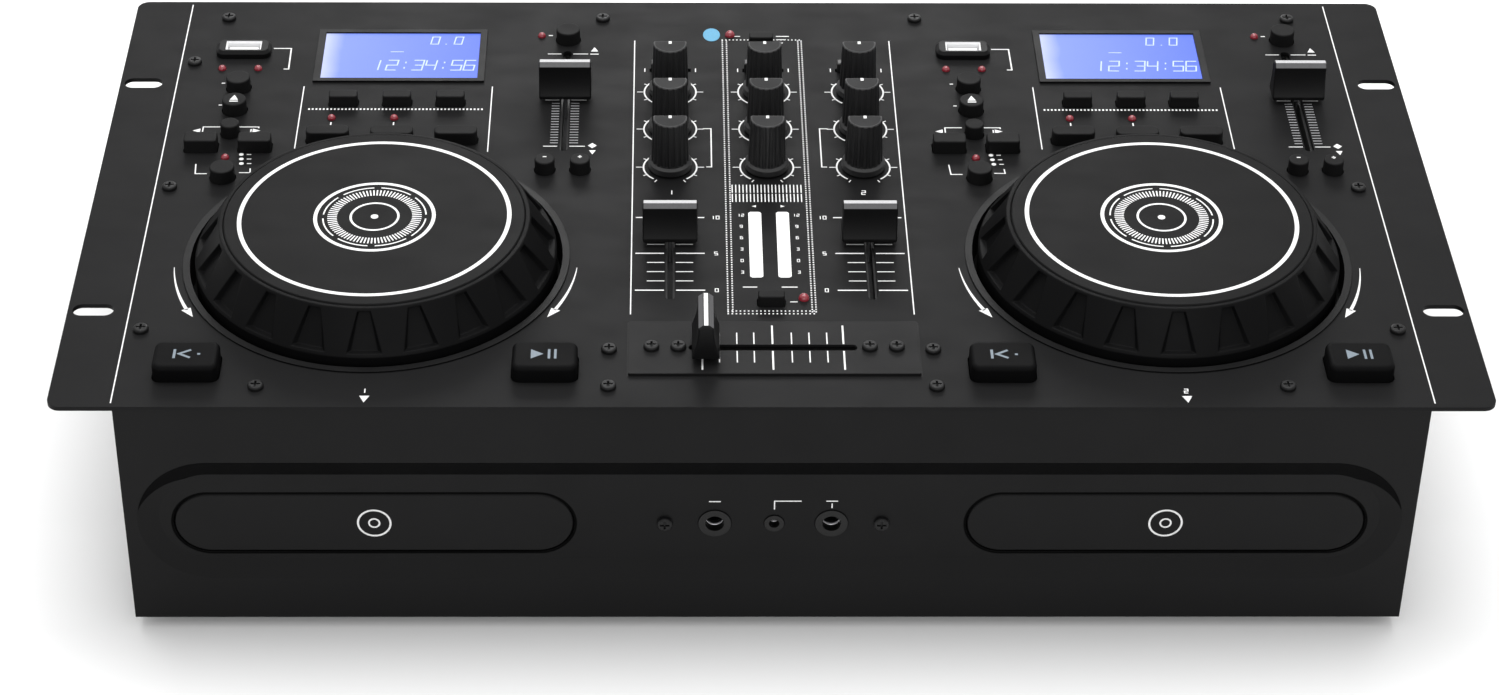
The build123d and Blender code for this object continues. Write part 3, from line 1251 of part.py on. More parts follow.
with BuildPart() as rear_sockets:
    extrude(face_boxes(RCA_PLACES, RCA_BODY_W, RCA_BODY_W, WALL_Y), amount=RCA_BODY_D)
    extrude(face_circles(RCA_PLACES, RCA_R, WALL_Y), amount=-SHEET - RCA_LENGTH)
    extrude(face_circles(RCA_PLACES, RCA_BORE_R, REAR_Y + RCA_LENGTH), amount=RCA_BORE_DEPTH,
            mode=Mode.SUBTRACT)
    extrude(face_boxes(INLET_PLACE, INLET_W, INLET_H, REAR_Y), amount=INLET_DEPTH)
    extrude(face_boxes(INLET_PLACE, INLET_W + 2 * INLET_FLANGE, INLET_H + 2 * INLET_FLANGE, INLET_FACE_Y),
            amount=INLET_FLANGE_T)
    extrude(face_boxes(INLET_PLACE, INLET_W - 2 * INLET_WALL, INLET_H - 2 * INLET_WALL, INLET_FACE_Y),
            amount=INLET_CAVITY, mode=Mode.SUBTRACT)
    extrude(face_boxes(BLADES, BLADE_W, BLADE_H, INLET_FACE_Y - INLET_CAVITY), amount=-BLADE_L)
    extrude(face_boxes(SWITCH_PLACE, SWITCH_W, SWITCH_H, REAR_Y), amount=SWITCH_DEPTH)
    extrude(face_boxes(SWITCH_PLACE, SWITCH_W + 2 * SWITCH_RIM, SWITCH_H + 2 * SWITCH_RIM, REAR_Y),
            amount=-SHEET)
    extrude(side_circle(ROCKER_R + ROCKER_GAP), amount=ROCKER_W / 2 + ROCKER_GAP, both=True,
            mode=Mode.SUBTRACT)
    extrude(side_circle(ROCKER_PIN_R + RUN_CLEARANCE), amount=ROCKER_W / 2 + SWITCH_WALL, both=True,
            mode=Mode.SUBTRACT)
save(rear_sockets, "rear_sockets")

# ---------------------------------------------------------------- power rocker
ROCKER_PLANE = Plane(
    origin=(ROCKER_X, PIVOT_Y, ROCKER_Z),
    x_dir=(0, cos(radians(ROCKER_TILT)), -sin(radians(ROCKER_TILT))),
    z_dir=(1, 0, 0),
)
ROCKER_END = (ROCKER_R * cos(radians(ROCKER_END_ANGLE)), ROCKER_R * sin(radians(ROCKER_END_ANGLE)))

with BuildPart() as power_rocker:
    with BuildSketch(ROCKER_PLANE):
        with BuildLine():
            ThreePointArc(ROCKER_END, (-ROCKER_R, 0), (ROCKER_END[0], -ROCKER_END[1]))
            Polyline((ROCKER_END[0], -ROCKER_END[1]), (ROCKER_FACE, 0), ROCKER_END)
        make_face()
    extrude(amount=ROCKER_W / 2, both=True)
    extrude(side_circle(ROCKER_PIN_R), amount=ROCKER_W / 2 + SWITCH_WALL - SEAT_GAP, both=True)
save(power_rocker, "power_rocker")

# ---------------------------------------------------------------- boards
DECK_KEYS = [SELECT_KEY, EJECT_KEY, JOG_MODE_KEY, PITCH_KEY, TRACK_KEY, CUE_KEY, PLAY_KEY]
DECK_KEYS += BEND_KEYS + SKIP_KEYS + DISPLAY_KEYS + LOOP_KEYS
KEY_PLACES = MIXER_KEYS + [place for x in DECKS.values() for place in shifted(DECK_KEYS, x)]
BOARDS = [MIXER_BOARD] + [(x + bx, by, w, d) for x in DECKS.values() for bx, by, w, d in DECK_BOARDS]
LEVER_SLOT_L = LEVER_TRAVEL + LEVER_W + 2 * LEVER_LEAD
MAIN_MID_Y = (MAIN_BOARD_Y0 + MAIN_BOARD_Y1) / 2
LOW_BOARDS = [
    (0, MAIN_MID_Y, MAIN_BOARD_W, MAIN_BOARD_Y1 - MAIN_BOARD_Y0),
    (POWER_BOARD_X, POWER_BOARD_Y, POWER_BOARD_W, POWER_BOARD_D),
]
FADERS = [(x + PITCH_X, PITCH_CENTRE_Y, PITCH_TRAVEL, 90) for x in DECKS.values()]
FADERS += [(x, CHANNEL_CENTRE_Y, CHANNEL_TRAVEL, 90) for x in CHANNELS.values()]
FADERS += [(CROSS_CENTRE_X, CROSS_SLOT_Y, CROSS_TRAVEL, 0)]


def turned_box(x, y, length, width, turn, z):
    with BuildSketch(Plane.XY.offset(z)) as outline:
        with Locations((x, y)):
            Rectangle(length, width, rotation=turn)
    return outline.sketch


with BuildPart() as circuit_boards:
    for x, y, width, depth in BOARDS:
        extrude(plan_boxes([(x, y)], width, depth, BOARD_Z), amount=-BOARD_T)
    extrude(plan_boxes(KEY_PLACES, SWITCH_BUTTON_W, SWITCH_BUTTON_W, BOARD_Z), amount=SWITCH_BUTTON_H)
    extrude(plan_boxes(KNOBS.values(), POT_W, POT_W, BOARD_Z), amount=POT_H)
    extrude(plan_circles(KNOBS.values(), SHAFT_R + SHAFT_CLEARANCE, POT_TOP_Z), amount=-POT_HOLE_DEPTH,
            mode=Mode.SUBTRACT)
    for x, y, travel, turn in FADERS:
        slot = fader_slot_length(travel)
        extrude(turned_box(x, y, slot + 2 * FADER_BODY_END, FADER_BODY_W, turn, BOARD_Z),
                amount=FADER_BODY_TOP_Z - BOARD_Z)
        extrude(turned_box(x, y, slot, FADER_BLADE_T + 2 * FADER_BLADE_GAP, turn, FADER_FLOOR_Z),
                amount=BOARD_DROP, mode=Mode.SUBTRACT)
    extrude(plan_boxes(LEVER_CENTRES, LEVER_SLOT_L + 2 * LEVER_BODY_END, LEVER_BODY_D, BOARD_Z),
            amount=FADER_BODY_TOP_Z - BOARD_Z)
    extrude(plan_boxes(LEVER_CENTRES, LEVER_SLOT_L, LEVER_STEM_D + 2 * FADER_BLADE_GAP, FADER_FLOOR_Z),
            amount=BOARD_DROP, mode=Mode.SUBTRACT)
    with BuildSketch(Plane.XY.offset(FADER_BODY_TOP_Z)):
        with Locations((MIXER_X, CROSS_SLOT_Y)):
            Rectangle(CROSS_EARS_L, FADER_BODY_W)
        cut_slots([(CROSS_CENTRE_X, CROSS_SLOT_Y)], fader_slot_length(CROSS_TRAVEL), FADER_SLOT_W)
        cut_circles(PLATE_SCREW_PLACES, SCREW_HOLE_R)
    extrude(amount=FADER_BODY_DROP)
    for x, y, width, depth in LOW_BOARDS:
        corners = [(x + sx * (width / 2 - 5), y + sy * (depth / 2 - 5)) for sx in (-1, 1) for sy in (-1, 1)]
        extrude(plan_boxes([(x, y)], width, depth, MAIN_BOARD_Z), amount=BOARD_T)
        extrude(plan_circles(corners, STUD_R, DECK_Z), amount=MAIN_BOARD_Z - DECK_Z)
    extrude(plan_boxes([(POWER_BOARD_X, POWER_BOARD_Y)], COIL_W, COIL_D, MAIN_BOARD_Z + BOARD_T),
            amount=COIL_H)
    extrude(plan_boxes(CHIP_PLACES, CHIP_W, CHIP_W, MAIN_BOARD_Z + BOARD_T), amount=CHIP_H)
save(circuit_boards, "circuit_boards")

# ---------------------------------------------------------------- screws
with BuildPart() as cross_head_screw:
    with BuildSketch(Plane.XY):
        Circle(SCREW_HEAD_R)
    extrude(amount=SCREW_HEAD_H)
    fillet(cross_head_screw.edges().group_by(Axis.Z)[-1], SCREW_HEAD_ROUND)
    with BuildSketch(Plane.XY.offset(SCREW_HEAD_H)):
        Rectangle(CROSS_SPAN, CROSS_W)
        Rectangle(CROSS_W, CROSS_SPAN)
    extrude(amount=-CROSS_DEPTH, mode=Mode.SUBTRACT)
    with BuildSketch(Plane.XY):
        Circle(SCREW_R)
    extrude(amount=-SCREW_LENGTH)

SCREW_PLANES = [Plane(origin=(x, y, TOP_Z)) for x, y in PANEL_SCREWS]
SCREW_PLANES += [Plane(origin=(x, y, TOP_Z + PLATE_SHEET)) for x, y in PLATE_SCREW_PLACES]
SCREW_PLANES += [
    Plane(origin=(x, RECESS_FLOOR_Y, z), x_dir=(1, 0, 0), z_dir=(0, -1, 0)) for x, z in JACK_SCREW_PLACES
]
SCREW_PLANES += [
    Plane(origin=(side * SIDE_X, y, z), x_dir=(0, 1, 0), z_dir=(side, 0, 0))
    for side in (-1, 1)
    for y, z in WALL_SCREWS
]

with BuildPart() as screws:
    for plane in SCREW_PLANES:
        add(plane.location * cross_head_screw.part)
save(screws, "screws")

# ---------------------------------------------------------------- feet
with BuildPart() as feet:
    extrude(plan_circles(FOOT_PLACES, FOOT_R, 0), amount=FOOT_H)
    chamfer(feet.edges().group_by(Axis.Z)[0], FOOT_CHAMFER)
save(feet, "feet")
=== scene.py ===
"""Looks for the rack-width disc player and mixer console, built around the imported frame.

Places and sizes are in millimetres in the CAD frame: +X right, +Y to the rear, +Z up.
Prints are thin closed ribbons and plates that lie on the surface that carries them.
"""
import math

import bpy
import numpy as np
from mathutils import Matrix, Vector


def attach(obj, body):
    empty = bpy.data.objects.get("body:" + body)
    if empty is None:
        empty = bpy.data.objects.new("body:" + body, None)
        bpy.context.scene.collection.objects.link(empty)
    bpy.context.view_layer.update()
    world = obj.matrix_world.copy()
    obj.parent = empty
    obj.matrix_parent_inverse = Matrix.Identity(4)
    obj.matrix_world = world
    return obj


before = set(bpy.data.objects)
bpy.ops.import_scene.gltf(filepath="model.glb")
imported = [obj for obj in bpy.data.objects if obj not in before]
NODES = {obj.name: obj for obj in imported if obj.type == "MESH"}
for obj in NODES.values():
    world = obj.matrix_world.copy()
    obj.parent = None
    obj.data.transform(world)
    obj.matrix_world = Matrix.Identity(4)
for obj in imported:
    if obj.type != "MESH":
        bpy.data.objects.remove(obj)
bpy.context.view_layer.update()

MM = 0.001
TOP = 97.8                  # top of the panel
INK = 0.06                  # height of a print
DECKS = {1: -137.2, 2: 137.2}
TRAYS = {1: -135.2, 2: 135.2}
JOG_Y = -43.65
JOG_TOP = TOP + 17.4
KEY_TOP = TOP + 5.0         # top of the round and bar keys
START_TOP = TOP + 6.0       # top of the cue and play keys
START_Y = -108.55
PLATE_TOP = TOP + 1.0       # top of the crossfader plate
CROSSFADER_Y = -98.1
KNOB_CROWN = TOP + 21.4
FACE_Y = -128.65            # front face, and the floor of its long recess
DOOR_Y = -126.15
FACE_Z = TOP - 52.8         # middle of the doors
RECESS_Z = TOP - 49.95      # middle of the recess
MIXER_X = 0.9
COLUMNS = {"left": MIXER_X - 35.2, "middle": MIXER_X, "right": MIXER_X + 35.2}
ROWS = {"top": 65.0, "middle": 39.4, "bottom": 13.9}


# ---------------------------------------------------------------- node helpers
class Nodes:
    """Short calls for building one material's node tree."""

    def __init__(self, name):
        self.material = bpy.data.materials.new(name)
        self.material.use_nodes = True
        self.tree = self.material.node_tree
        self.tree.nodes.clear()
        self.out = self.add("ShaderNodeOutputMaterial")
        self.shader = self.add("ShaderNodeBsdfPrincipled")
        self.link(self.shader.outputs[0], self.out.inputs[0])
        self.place = self.add("ShaderNodeTexCoord").outputs["Object"]

    def add(self, kind, **values):
        node = self.tree.nodes.new(kind)
        for key, value in values.items():
            setattr(node, key, value)
        return node

    def link(self, source, target):
        self.tree.links.new(source, target)

    def put(self, socket, value):
        if isinstance(value, bpy.types.NodeSocket):
            self.link(value, socket)
        else:
            socket.default_value = value

    def math(self, operation, a, b=0.0, clamp=False):
        node = self.add("ShaderNodeMath", operation=operation, use_clamp=clamp)
        self.put(node.inputs[0], a)
        self.put(node.inputs[1], b)
        return node.outputs[0]

    def noise(self, scale, detail=2.0, stretch=(1, 1, 1), rough=0.5):
        mapping = self.add("ShaderNodeMapping")
        self.link(self.place, mapping.inputs["Vector"])
        mapping.inputs["Scale"].default_value = stretch
        node = self.add("ShaderNodeTexNoise")
        self.link(mapping.outputs[0], node.inputs["Vector"])
        node.inputs["Scale"].default_value = scale
        node.inputs["Detail"].default_value = detail
        node.inputs["Roughness"].default_value = rough
        return node.outputs[0]

    def remap(self, value, low, high, to_low, to_high):
        node = self.add("ShaderNodeMapRange")
        for socket, number in zip(node.inputs[:5], (value, low, high, to_low, to_high)):
            self.put(socket, number)
        return node.outputs[0]

    def mix(self, factor, a, b, kind="MIX"):
        node = self.add("ShaderNodeMix", data_type="RGBA", blend_type=kind)
        self.put(node.inputs[0], factor)
        self.put(node.inputs[6], a)
        self.put(node.inputs[7], b)
        return node.outputs[2]

    def xyz(self):
        node = self.add("ShaderNodeSeparateXYZ")
        self.link(self.place, node.inputs[0])
        return node.outputs

    def inside(self, axis, low, high):
        """1 where a coordinate, in millimetres, lies between two values."""
        value = self.xyz()[axis]
        above = self.math("GREATER_THAN", value, low * MM)
        below = self.math("LESS_THAN", value, high * MM)
        return self.math("MULTIPLY", above, below)

    def region(self, *spans):
        """1 inside a box of (axis, low, high) spans."""
        mask = self.inside(*spans[0])
        for span in spans[1:]:
            mask = self.math("MULTIPLY", mask, self.inside(*span))
        return mask

    def any_of(self, masks):
        total = masks[0]
        for mask in masks[1:]:
            total = self.math("MAXIMUM", total, mask)
        return total


def edge_field(nodes, radius):
    """A rounded normal for sharp CAD edges, and a mask that is 1 on those edges."""
    bevel = nodes.add("ShaderNodeBevel", samples=4)
    bevel.inputs["Radius"].default_value = radius * MM
    geometry = nodes.add("ShaderNodeNewGeometry")
    dot = nodes.add("ShaderNodeVectorMath", operation="DOT_PRODUCT")
    nodes.link(bevel.outputs[0], dot.inputs[0])
    nodes.link(geometry.outputs["Normal"], dot.inputs[1])
    edge = nodes.remap(dot.outputs["Value"], 0.99, 0.8, 0.0, 1.0)
    return bevel.outputs[0], edge


def surface(name, colour, rough, grain=0.5, grain_depth=0.02, shade=0.12, wear=0.3, bevel=0.3,
            metallic=0.0, specular=0.5, coat=0.0, stretch=(1, 1, 1), mottle=0.1):
    """A moulded, painted or machined surface: fine grain, slow mottling and paler edges.

    grain is the size of the texture in millimetres and grain_depth its relief.
    """
    nodes = Nodes(name)
    fine = nodes.noise(1.0 / (grain * MM), 3.0, stretch, 0.6)
    slow = nodes.noise(14.0, 3.0)
    smudge = nodes.noise(55.0, 5.0, (1, 1.7, 1))
    normal, edge = edge_field(nodes, bevel)
    dark = [c * (1 - shade) for c in colour] + [1]
    light = [c * (1 + shade) for c in colour] + [1]
    base = nodes.mix(fine, dark, light)
    tint = nodes.remap(slow, 0.3, 0.7, 1 - mottle, 1 + mottle)
    combine = nodes.add("ShaderNodeCombineColor")
    for socket in combine.inputs:
        nodes.put(socket, tint)
    base = nodes.mix(1.0, base, combine.outputs[0], "MULTIPLY")
    worn = [min(1.0, c * 1.9 + 0.02) for c in colour] + [1]
    broken = nodes.math("MULTIPLY", edge, nodes.remap(smudge, 0.4, 0.65, 0.2, 1.0))
    base = nodes.mix(nodes.math("MULTIPLY", broken, wear), base, worn)
    spread = nodes.math("ADD", nodes.remap(smudge, 0.3, 0.7, rough - 0.05, rough + 0.06),
                        nodes.math("MULTIPLY", fine, 0.05))
    bump = nodes.add("ShaderNodeBump")
    bump.inputs["Strength"].default_value = 1.0
    bump.inputs["Distance"].default_value = grain_depth * MM
    nodes.link(fine, bump.inputs["Height"])
    nodes.link(normal, bump.inputs["Normal"])
    shader = nodes.shader
    nodes.link(base, shader.inputs["Base Color"])
    nodes.link(spread, shader.inputs["Roughness"])
    nodes.link(bump.outputs[0], shader.inputs["Normal"])
    shader.inputs["Metallic"].default_value = metallic
    shader.inputs["Specular IOR Level"].default_value = specular
    shader.inputs["Coat Weight"].default_value = coat
    shader.inputs["Coat Roughness"].default_value = 0.15
    return nodes


def recolour(nodes, mask, colour, metallic=None, rough=None):
    """Gives the region of a mask its own colour and, where stated, its own metal and gloss."""
    shader = nodes.shader
    source = shader.inputs["Base Color"].links[0].from_socket
    nodes.link(nodes.mix(mask, source, list(colour) + [1]), shader.inputs["Base Color"])
    if metallic is not None:
        nodes.link(nodes.math("MULTIPLY", mask, metallic), shader.inputs["Metallic"])
    if rough is not None:
        source = shader.inputs["Roughness"].links[0].from_socket
        keep = nodes.math("MULTIPLY", source, nodes.math("SUBTRACT", 1.0, mask))
        nodes.link(nodes.math("ADD", keep, nodes.math("MULTIPLY", mask, rough)), shader.inputs["Roughness"])


def ink(name, colour, rough=0.45, glow=0.0):
    """Screen-printed ink: slightly uneven cover with a soft sheen."""
    nodes = Nodes(name)
    cover = nodes.noise(1500.0, 3.0)
    dark = [c * 0.86 for c in colour] + [1]
    base = nodes.mix(nodes.remap(cover, 0.35, 0.65, 0.0, 1.0), dark, list(colour) + [1])
    nodes.link(base, nodes.shader.inputs["Base Color"])
    nodes.link(nodes.remap(cover, 0.3, 0.7, rough - 0.06, rough + 0.06), nodes.shader.inputs["Roughness"])
    nodes.link(base, nodes.shader.inputs["Emission Color"])
    nodes.shader.inputs["Emission Strength"].default_value = glow
    return nodes.material


def lamp_glass(name, colour, glow):
    """Tinted lens with a faint glow, its tint mottled by noise."""
    nodes = Nodes(name)
    swirl = nodes.noise(900.0, 2.0)
    base = nodes.mix(swirl, [c * 0.7 for c in colour] + [1], list(colour) + [1])
    nodes.link(base, nodes.shader.inputs["Base Color"])
    nodes.link(base, nodes.shader.inputs["Emission Color"])
    nodes.link(nodes.remap(swirl, 0.3, 0.7, 0.18, 0.26), nodes.shader.inputs["Roughness"])
    nodes.shader.inputs["Emission Strength"].default_value = glow
    nodes.shader.inputs["Coat Weight"].default_value = 0.6
    return nodes.material


def screen_material(name, centre_x):
    """Back-lit display: blue, with the lamp's pale glow spreading from the left edge."""
    nodes = Nodes(name)
    along = nodes.remap(nodes.xyz()[0], (centre_x - 29.5) * MM, (centre_x + 29.5) * MM, 0.0, 1.0)
    ramp = nodes.add("ShaderNodeValToRGB")
    ramp.color_ramp.elements[0].position = 0.0
    ramp.color_ramp.elements[0].color = (0.68, 0.74, 1.0, 1)
    ramp.color_ramp.elements[1].position = 1.0
    ramp.color_ramp.elements[1].color = (0.11, 0.20, 0.96, 1)
    middle = ramp.color_ramp.elements.new(0.14)
    middle.color = (0.22, 0.32, 1.0, 1)
    nodes.link(nodes.math("ADD", along, nodes.math("MULTIPLY", nodes.noise(60.0), 0.05)), ramp.inputs[0])
    grid = nodes.noise(2500.0, 1.0)
    base = nodes.mix(nodes.math("MULTIPLY", grid, 0.1), ramp.outputs[0], [0.4, 0.45, 0.9, 1])
    nodes.link(nodes.mix(0.85, base, [0.01, 0.01, 0.06, 1]), nodes.shader.inputs["Base Color"])
    nodes.link(base, nodes.shader.inputs["Emission Color"])
    nodes.shader.inputs["Emission Strength"].default_value = 0.85
    nodes.link(nodes.remap(grid, 0.3, 0.7, 0.3, 0.36), nodes.shader.inputs["Roughness"])
    nodes.shader.inputs["Specular IOR Level"].default_value = 0.1
    return nodes.material


# ---------------------------------------------------------------- mesh helpers
class Drawing:
    """Collects closed ribbons and plates, and turns them into one mesh."""

    def __init__(self, z, thick=INK, sink=0.03):
        self.low = z - sink
        self.high = z + thick
        self.points = []
        self.faces = []

    def plate(self, outline):
        """A flat closed prism over a convex or simple outline."""
        count = len(outline)
        start = len(self.points)
        for z in (self.low, self.high):
            self.points += [(x, y, z) for x, y in outline]
        self.faces.append([start + count + i for i in range(count)])
        self.faces.append([start + i for i in reversed(range(count))])
        for i in range(count):
            j = (i + 1) % count
            self.faces.append([start + i, start + j, start + count + j, start + count + i])

    def box(self, x0, y0, x1, y1):
        self.plate([(x0, y0), (x1, y0), (x1, y1), (x0, y1)])

    def disc(self, x, y, r, steps=32):
        turns = [2 * math.pi * i / steps for i in range(steps)]
        self.plate([(x + r * math.cos(t), y + r * math.sin(t)) for t in turns])

    def ribbon(self, path, width, closed=False):
        """A band of one width along a path, with mitred corners."""
        path = np.array(path, float)
        count = len(path)
        ahead = np.roll(path, -1, 0) - path
        back = path - np.roll(path, 1, 0)
        if not closed:
            ahead[-1] = back[-1]
            back[0] = ahead[0]
        ahead /= np.linalg.norm(ahead, axis=1)[:, None]
        back /= np.linalg.norm(back, axis=1)[:, None]
        side = np.stack([-(ahead + back)[:, 1], (ahead + back)[:, 0]], 1)
        side /= np.linalg.norm(side, axis=1)[:, None]
        normal = np.stack([-ahead[:, 1], ahead[:, 0]], 1)
        reach = width / 2 / np.maximum(0.4, (side * normal).sum(1))
        left = path + side * reach[:, None]
        right = path - side * reach[:, None]
        start = len(self.points)
        for i in range(count):
            self.points += [(*left[i], self.low), (*right[i], self.low),
                            (*right[i], self.high), (*left[i], self.high)]
        for i in range(count if closed else count - 1):
            a = start + 4 * i
            b = start + 4 * ((i + 1) % count)
            for k in range(4):
                m = (k + 1) % 4
                self.faces.append([a + k, a + m, b + m, b + k])
        if not closed:
            last = start + 4 * (count - 1)
            self.faces.append([start + 3, start + 2, start + 1, start])
            self.faces.append([last, last + 1, last + 2, last + 3])

    def line(self, x0, y0, x1, y1, width=0.35):
        self.ribbon([(x0, y0), (x1, y1)], width)

    def ring(self, x, y, r, width, steps=96):
        turns = [2 * math.pi * i / steps for i in range(steps)]
        self.ribbon([(x + r * math.cos(t), y + r * math.sin(t)) for t in turns], width, True)

    def arc(self, x, y, r, start, end, width, steps=24):
        turns = [math.radians(start + (end - start) * i / steps) for i in range(steps + 1)]
        self.ribbon([(x + r * math.cos(t), y + r * math.sin(t)) for t in turns], width)

    def triangle(self, x, y, size, turn):
        """A filled triangle whose point looks along an angle in degrees."""
        turns = [math.radians(turn + k) for k in (0, 130, 230)]
        self.plate([(x + size * math.cos(t), y + size * math.sin(t)) for t in turns])

    def figures(self, text, x, y, height, width=0.3, pitch=0.8, lean=0.0):
        """Plain square figures, written from left to right and centred on x, y."""
        wide = 0.55 * height
        left = x - (len(text) - 1) * pitch * height / 2
        for place, mark in enumerate(text):
            for stroke in FIGURES[mark]:
                path = []
                for u, v in stroke:
                    px = left + place * pitch * height + (u - 0.5) * wide + lean * (v - 0.5) * height
                    path.append((px, y + (v - 0.5) * height))
                self.ribbon(path, width)

    def build(self, name, body, material):
        return solid(name, self.points, self.faces, body, material)


FIGURES = {
    "0": [[(0, 0), (1, 0), (1, 1), (0, 1), (0, -0.04)]],
    "1": [[(0.5, 0), (0.5, 1)]],
    "2": [[(0, 1), (1, 1), (1, 0.5), (0, 0.5), (0, 0), (1, 0)]],
    "3": [[(0, 1), (1, 1), (1, 0), (0, 0)], [(0.2, 0.5), (1, 0.5)]],
    "4": [[(0, 1), (0, 0.5), (1, 0.5)], [(1, 1), (1, 0)]],
    "5": [[(1, 1), (0, 1), (0, 0.5), (1, 0.5), (1, 0), (0, 0)]],
    "6": [[(1, 1), (0, 1), (0, 0), (1, 0), (1, 0.5), (0, 0.5)]],
    "9": [[(0, 0), (1, 0), (1, 1), (0, 1), (0, 0.5), (1, 0.5)]],
    "-": [[(0, 0.5), (1, 0.5)]],
    "+": [[(0, 0.5), (1, 0.5)], [(0.5, 0.2), (0.5, 0.8)]],
    ".": [[(0.4, 0), (0.6, 0)]],
    ":": [[(0.5, 0.15), (0.5, 0.3)], [(0.5, 0.7), (0.5, 0.85)]],
}


def solid(name, points, faces, body, material, smooth=False):
    mesh = bpy.data.meshes.new(name)
    mesh.from_pydata([(x * MM, y * MM, z * MM) for x, y, z in points], [], faces)
    mesh.validate()
    mesh.update()
    mesh.materials.append(material)
    mesh.polygons.foreach_set("use_smooth", [smooth] * len(mesh.polygons))
    piece = bpy.data.objects.new(name, mesh)
    bpy.context.scene.collection.objects.link(piece)
    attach(piece, body)
    return piece


def turned(name, centre, profile, body, material, axis="Z", steps=48):
    """A closed ring or dome: (radius, height) points turned about an axis through a centre."""
    rings = np.array(profile, float)
    angles = np.linspace(0, 2 * math.pi, steps, endpoint=False)
    radius, height = rings[:, 0], rings[:, 1]
    across = radius[:, None] * np.cos(angles)
    up = radius[:, None] * np.sin(angles)
    along = np.repeat(height[:, None], steps, 1)
    if axis == "Z":
        grid = np.stack([across, up, along], 2)
    else:
        grid = np.stack([across, -along, up], 2)
    points = (grid.reshape(-1, 3) + np.array(centre)).tolist()
    count = len(profile)
    faces = []
    for i in range(count):
        j = (i + 1) % count
        for k in range(steps):
            m = (k + 1) % steps
            faces.append([i * steps + k, i * steps + m, j * steps + m, j * steps + k])
    return solid(name, points, faces, body, material, True)


def lens(name, x, y, r, height, z, body, material):
    """A domed lens: its height falls off as the square root of 1 - (d / r) squared."""
    profile = [(r * math.sin(t), z + height * math.cos(t)) for t in np.linspace(0.02, math.pi / 2, 8)]
    profile += [(r, z - 0.4), (0.02 * r, z - 0.4)]
    return turned(name, (x, y, 0), profile, body, material, steps=24)


# ---------------------------------------------------------------- materials
PANEL = surface("panel_powder_coat", (0.0085, 0.0085, 0.0088), 0.44, 0.28, 0.012, 0.16, 0.25, 0.25,
                specular=0.06)
FACE = surface("face_satin_black", (0.0038, 0.0038, 0.004), 0.42, 0.3, 0.01, 0.14, 0.15, 0.5, specular=0.12)
CHASSIS = surface("chassis_satin_black", (0.006, 0.006, 0.0063), 0.45, 0.3, 0.012, 0.14, 0.2, 0.5,
                  specular=0.2)
WELL = surface("well_black_plastic", (0.003, 0.003, 0.0032), 0.4, 0.4, 0.01, 0.1, 0.1, 0.2, specular=0.15)
JOG = surface("jog_soft_black", (0.003, 0.003, 0.0032), 0.42, 0.35, 0.012, 0.12, 0.12, 0.8, specular=0.06)
JOG_PLATE = surface("jog_top_satin", (0.0065, 0.0065, 0.0067), 0.42, 0.22, 0.006, 0.1, 0.2, 0.3,
                    specular=0.05)
CAP = surface("fader_cap_plastic", (0.004, 0.004, 0.0042), 0.36, 0.3, 0.006, 0.1, 0.2, 0.35, specular=0.2)
KEY = surface("key_plastic", (0.009, 0.009, 0.0092), 0.46, 0.25, 0.01, 0.12, 0.12, 0.3, specular=0.06)
START = surface("start_key_rubber", (0.003, 0.003, 0.0032), 0.5, 0.3, 0.012, 0.12, 0.1, 0.5, specular=0.04)
KNOB = surface("knob_soft_plastic", (0.010, 0.010, 0.0105), 0.45, 0.25, 0.012, 0.12, 0.2, 0.3)
PLATE = surface("plate_powder_coat", (0.010, 0.010, 0.0103), 0.44, 0.28, 0.012, 0.16, 0.25, 0.2,
                specular=0.08)
LEVER = surface("lever_plastic", (0.012, 0.012, 0.012), 0.35, 0.3, 0.006)
DISPLAY = surface("display_frame_satin", (0.004, 0.004, 0.0043), 0.4, 0.5, 0.003, 0.08, 0.12, 0.2,
                  specular=0.12)
USB = surface("socket_satin_plastic", (0.004, 0.004, 0.0043), 0.36, 0.5, 0.004, 0.08, 0.12, 0.4,
              specular=0.12)
JACK = surface("jack_plastic", (0.004, 0.004, 0.004), 0.34, 0.4, 0.006, specular=0.25)
REAR = surface("rear_plastic", (0.006, 0.006, 0.006), 0.38, 0.4, 0.008, specular=0.3)
TRAY = surface("tray_plastic", (0.010, 0.010, 0.0105), 0.42, 0.35, 0.01)
DOOR = surface("door_satin_black", (0.0038, 0.0038, 0.004), 0.38, 0.3, 0.006, 0.1, 0.15, 0.4, specular=0.12)
GEAR = surface("gear_nylon", (0.75, 0.73, 0.68), 0.4, 0.4, 0.01, 0.04, 0.0, 0.1)
STEEL = surface("plated_steel", (0.5, 0.5, 0.51), 0.32, 0.4, 0.01, 0.06, 0.1, 0.3, 1.0, stretch=(1, 12, 1))
BOARD = surface("board_laminate", (0.012, 0.13, 0.05), 0.4, 1.2, 0.01, 0.2, 0.0, 0.2)
SCREW = surface("screw_black_oxide", (0.010, 0.010, 0.0103), 0.36, 0.2, 0.01, 0.1, 0.35, 0.25, 0.2,
                specular=0.2)
FOOT = surface("foot_rubber", (0.012, 0.012, 0.012), 0.7, 0.5, 0.03, 0.12, 0.0, 0.4, specular=0.3)
ROCKER = surface("rocker_gloss", (0.008, 0.008, 0.008), 0.2, 0.5, 0.003, coat=0.4)
METAL = surface("bright_blade_metal", (0.62, 0.62, 0.64), 0.24, 0.3, 0.006, 0.05, 0.2, 0.2, 1.0,
                stretch=(1, 1, 8))

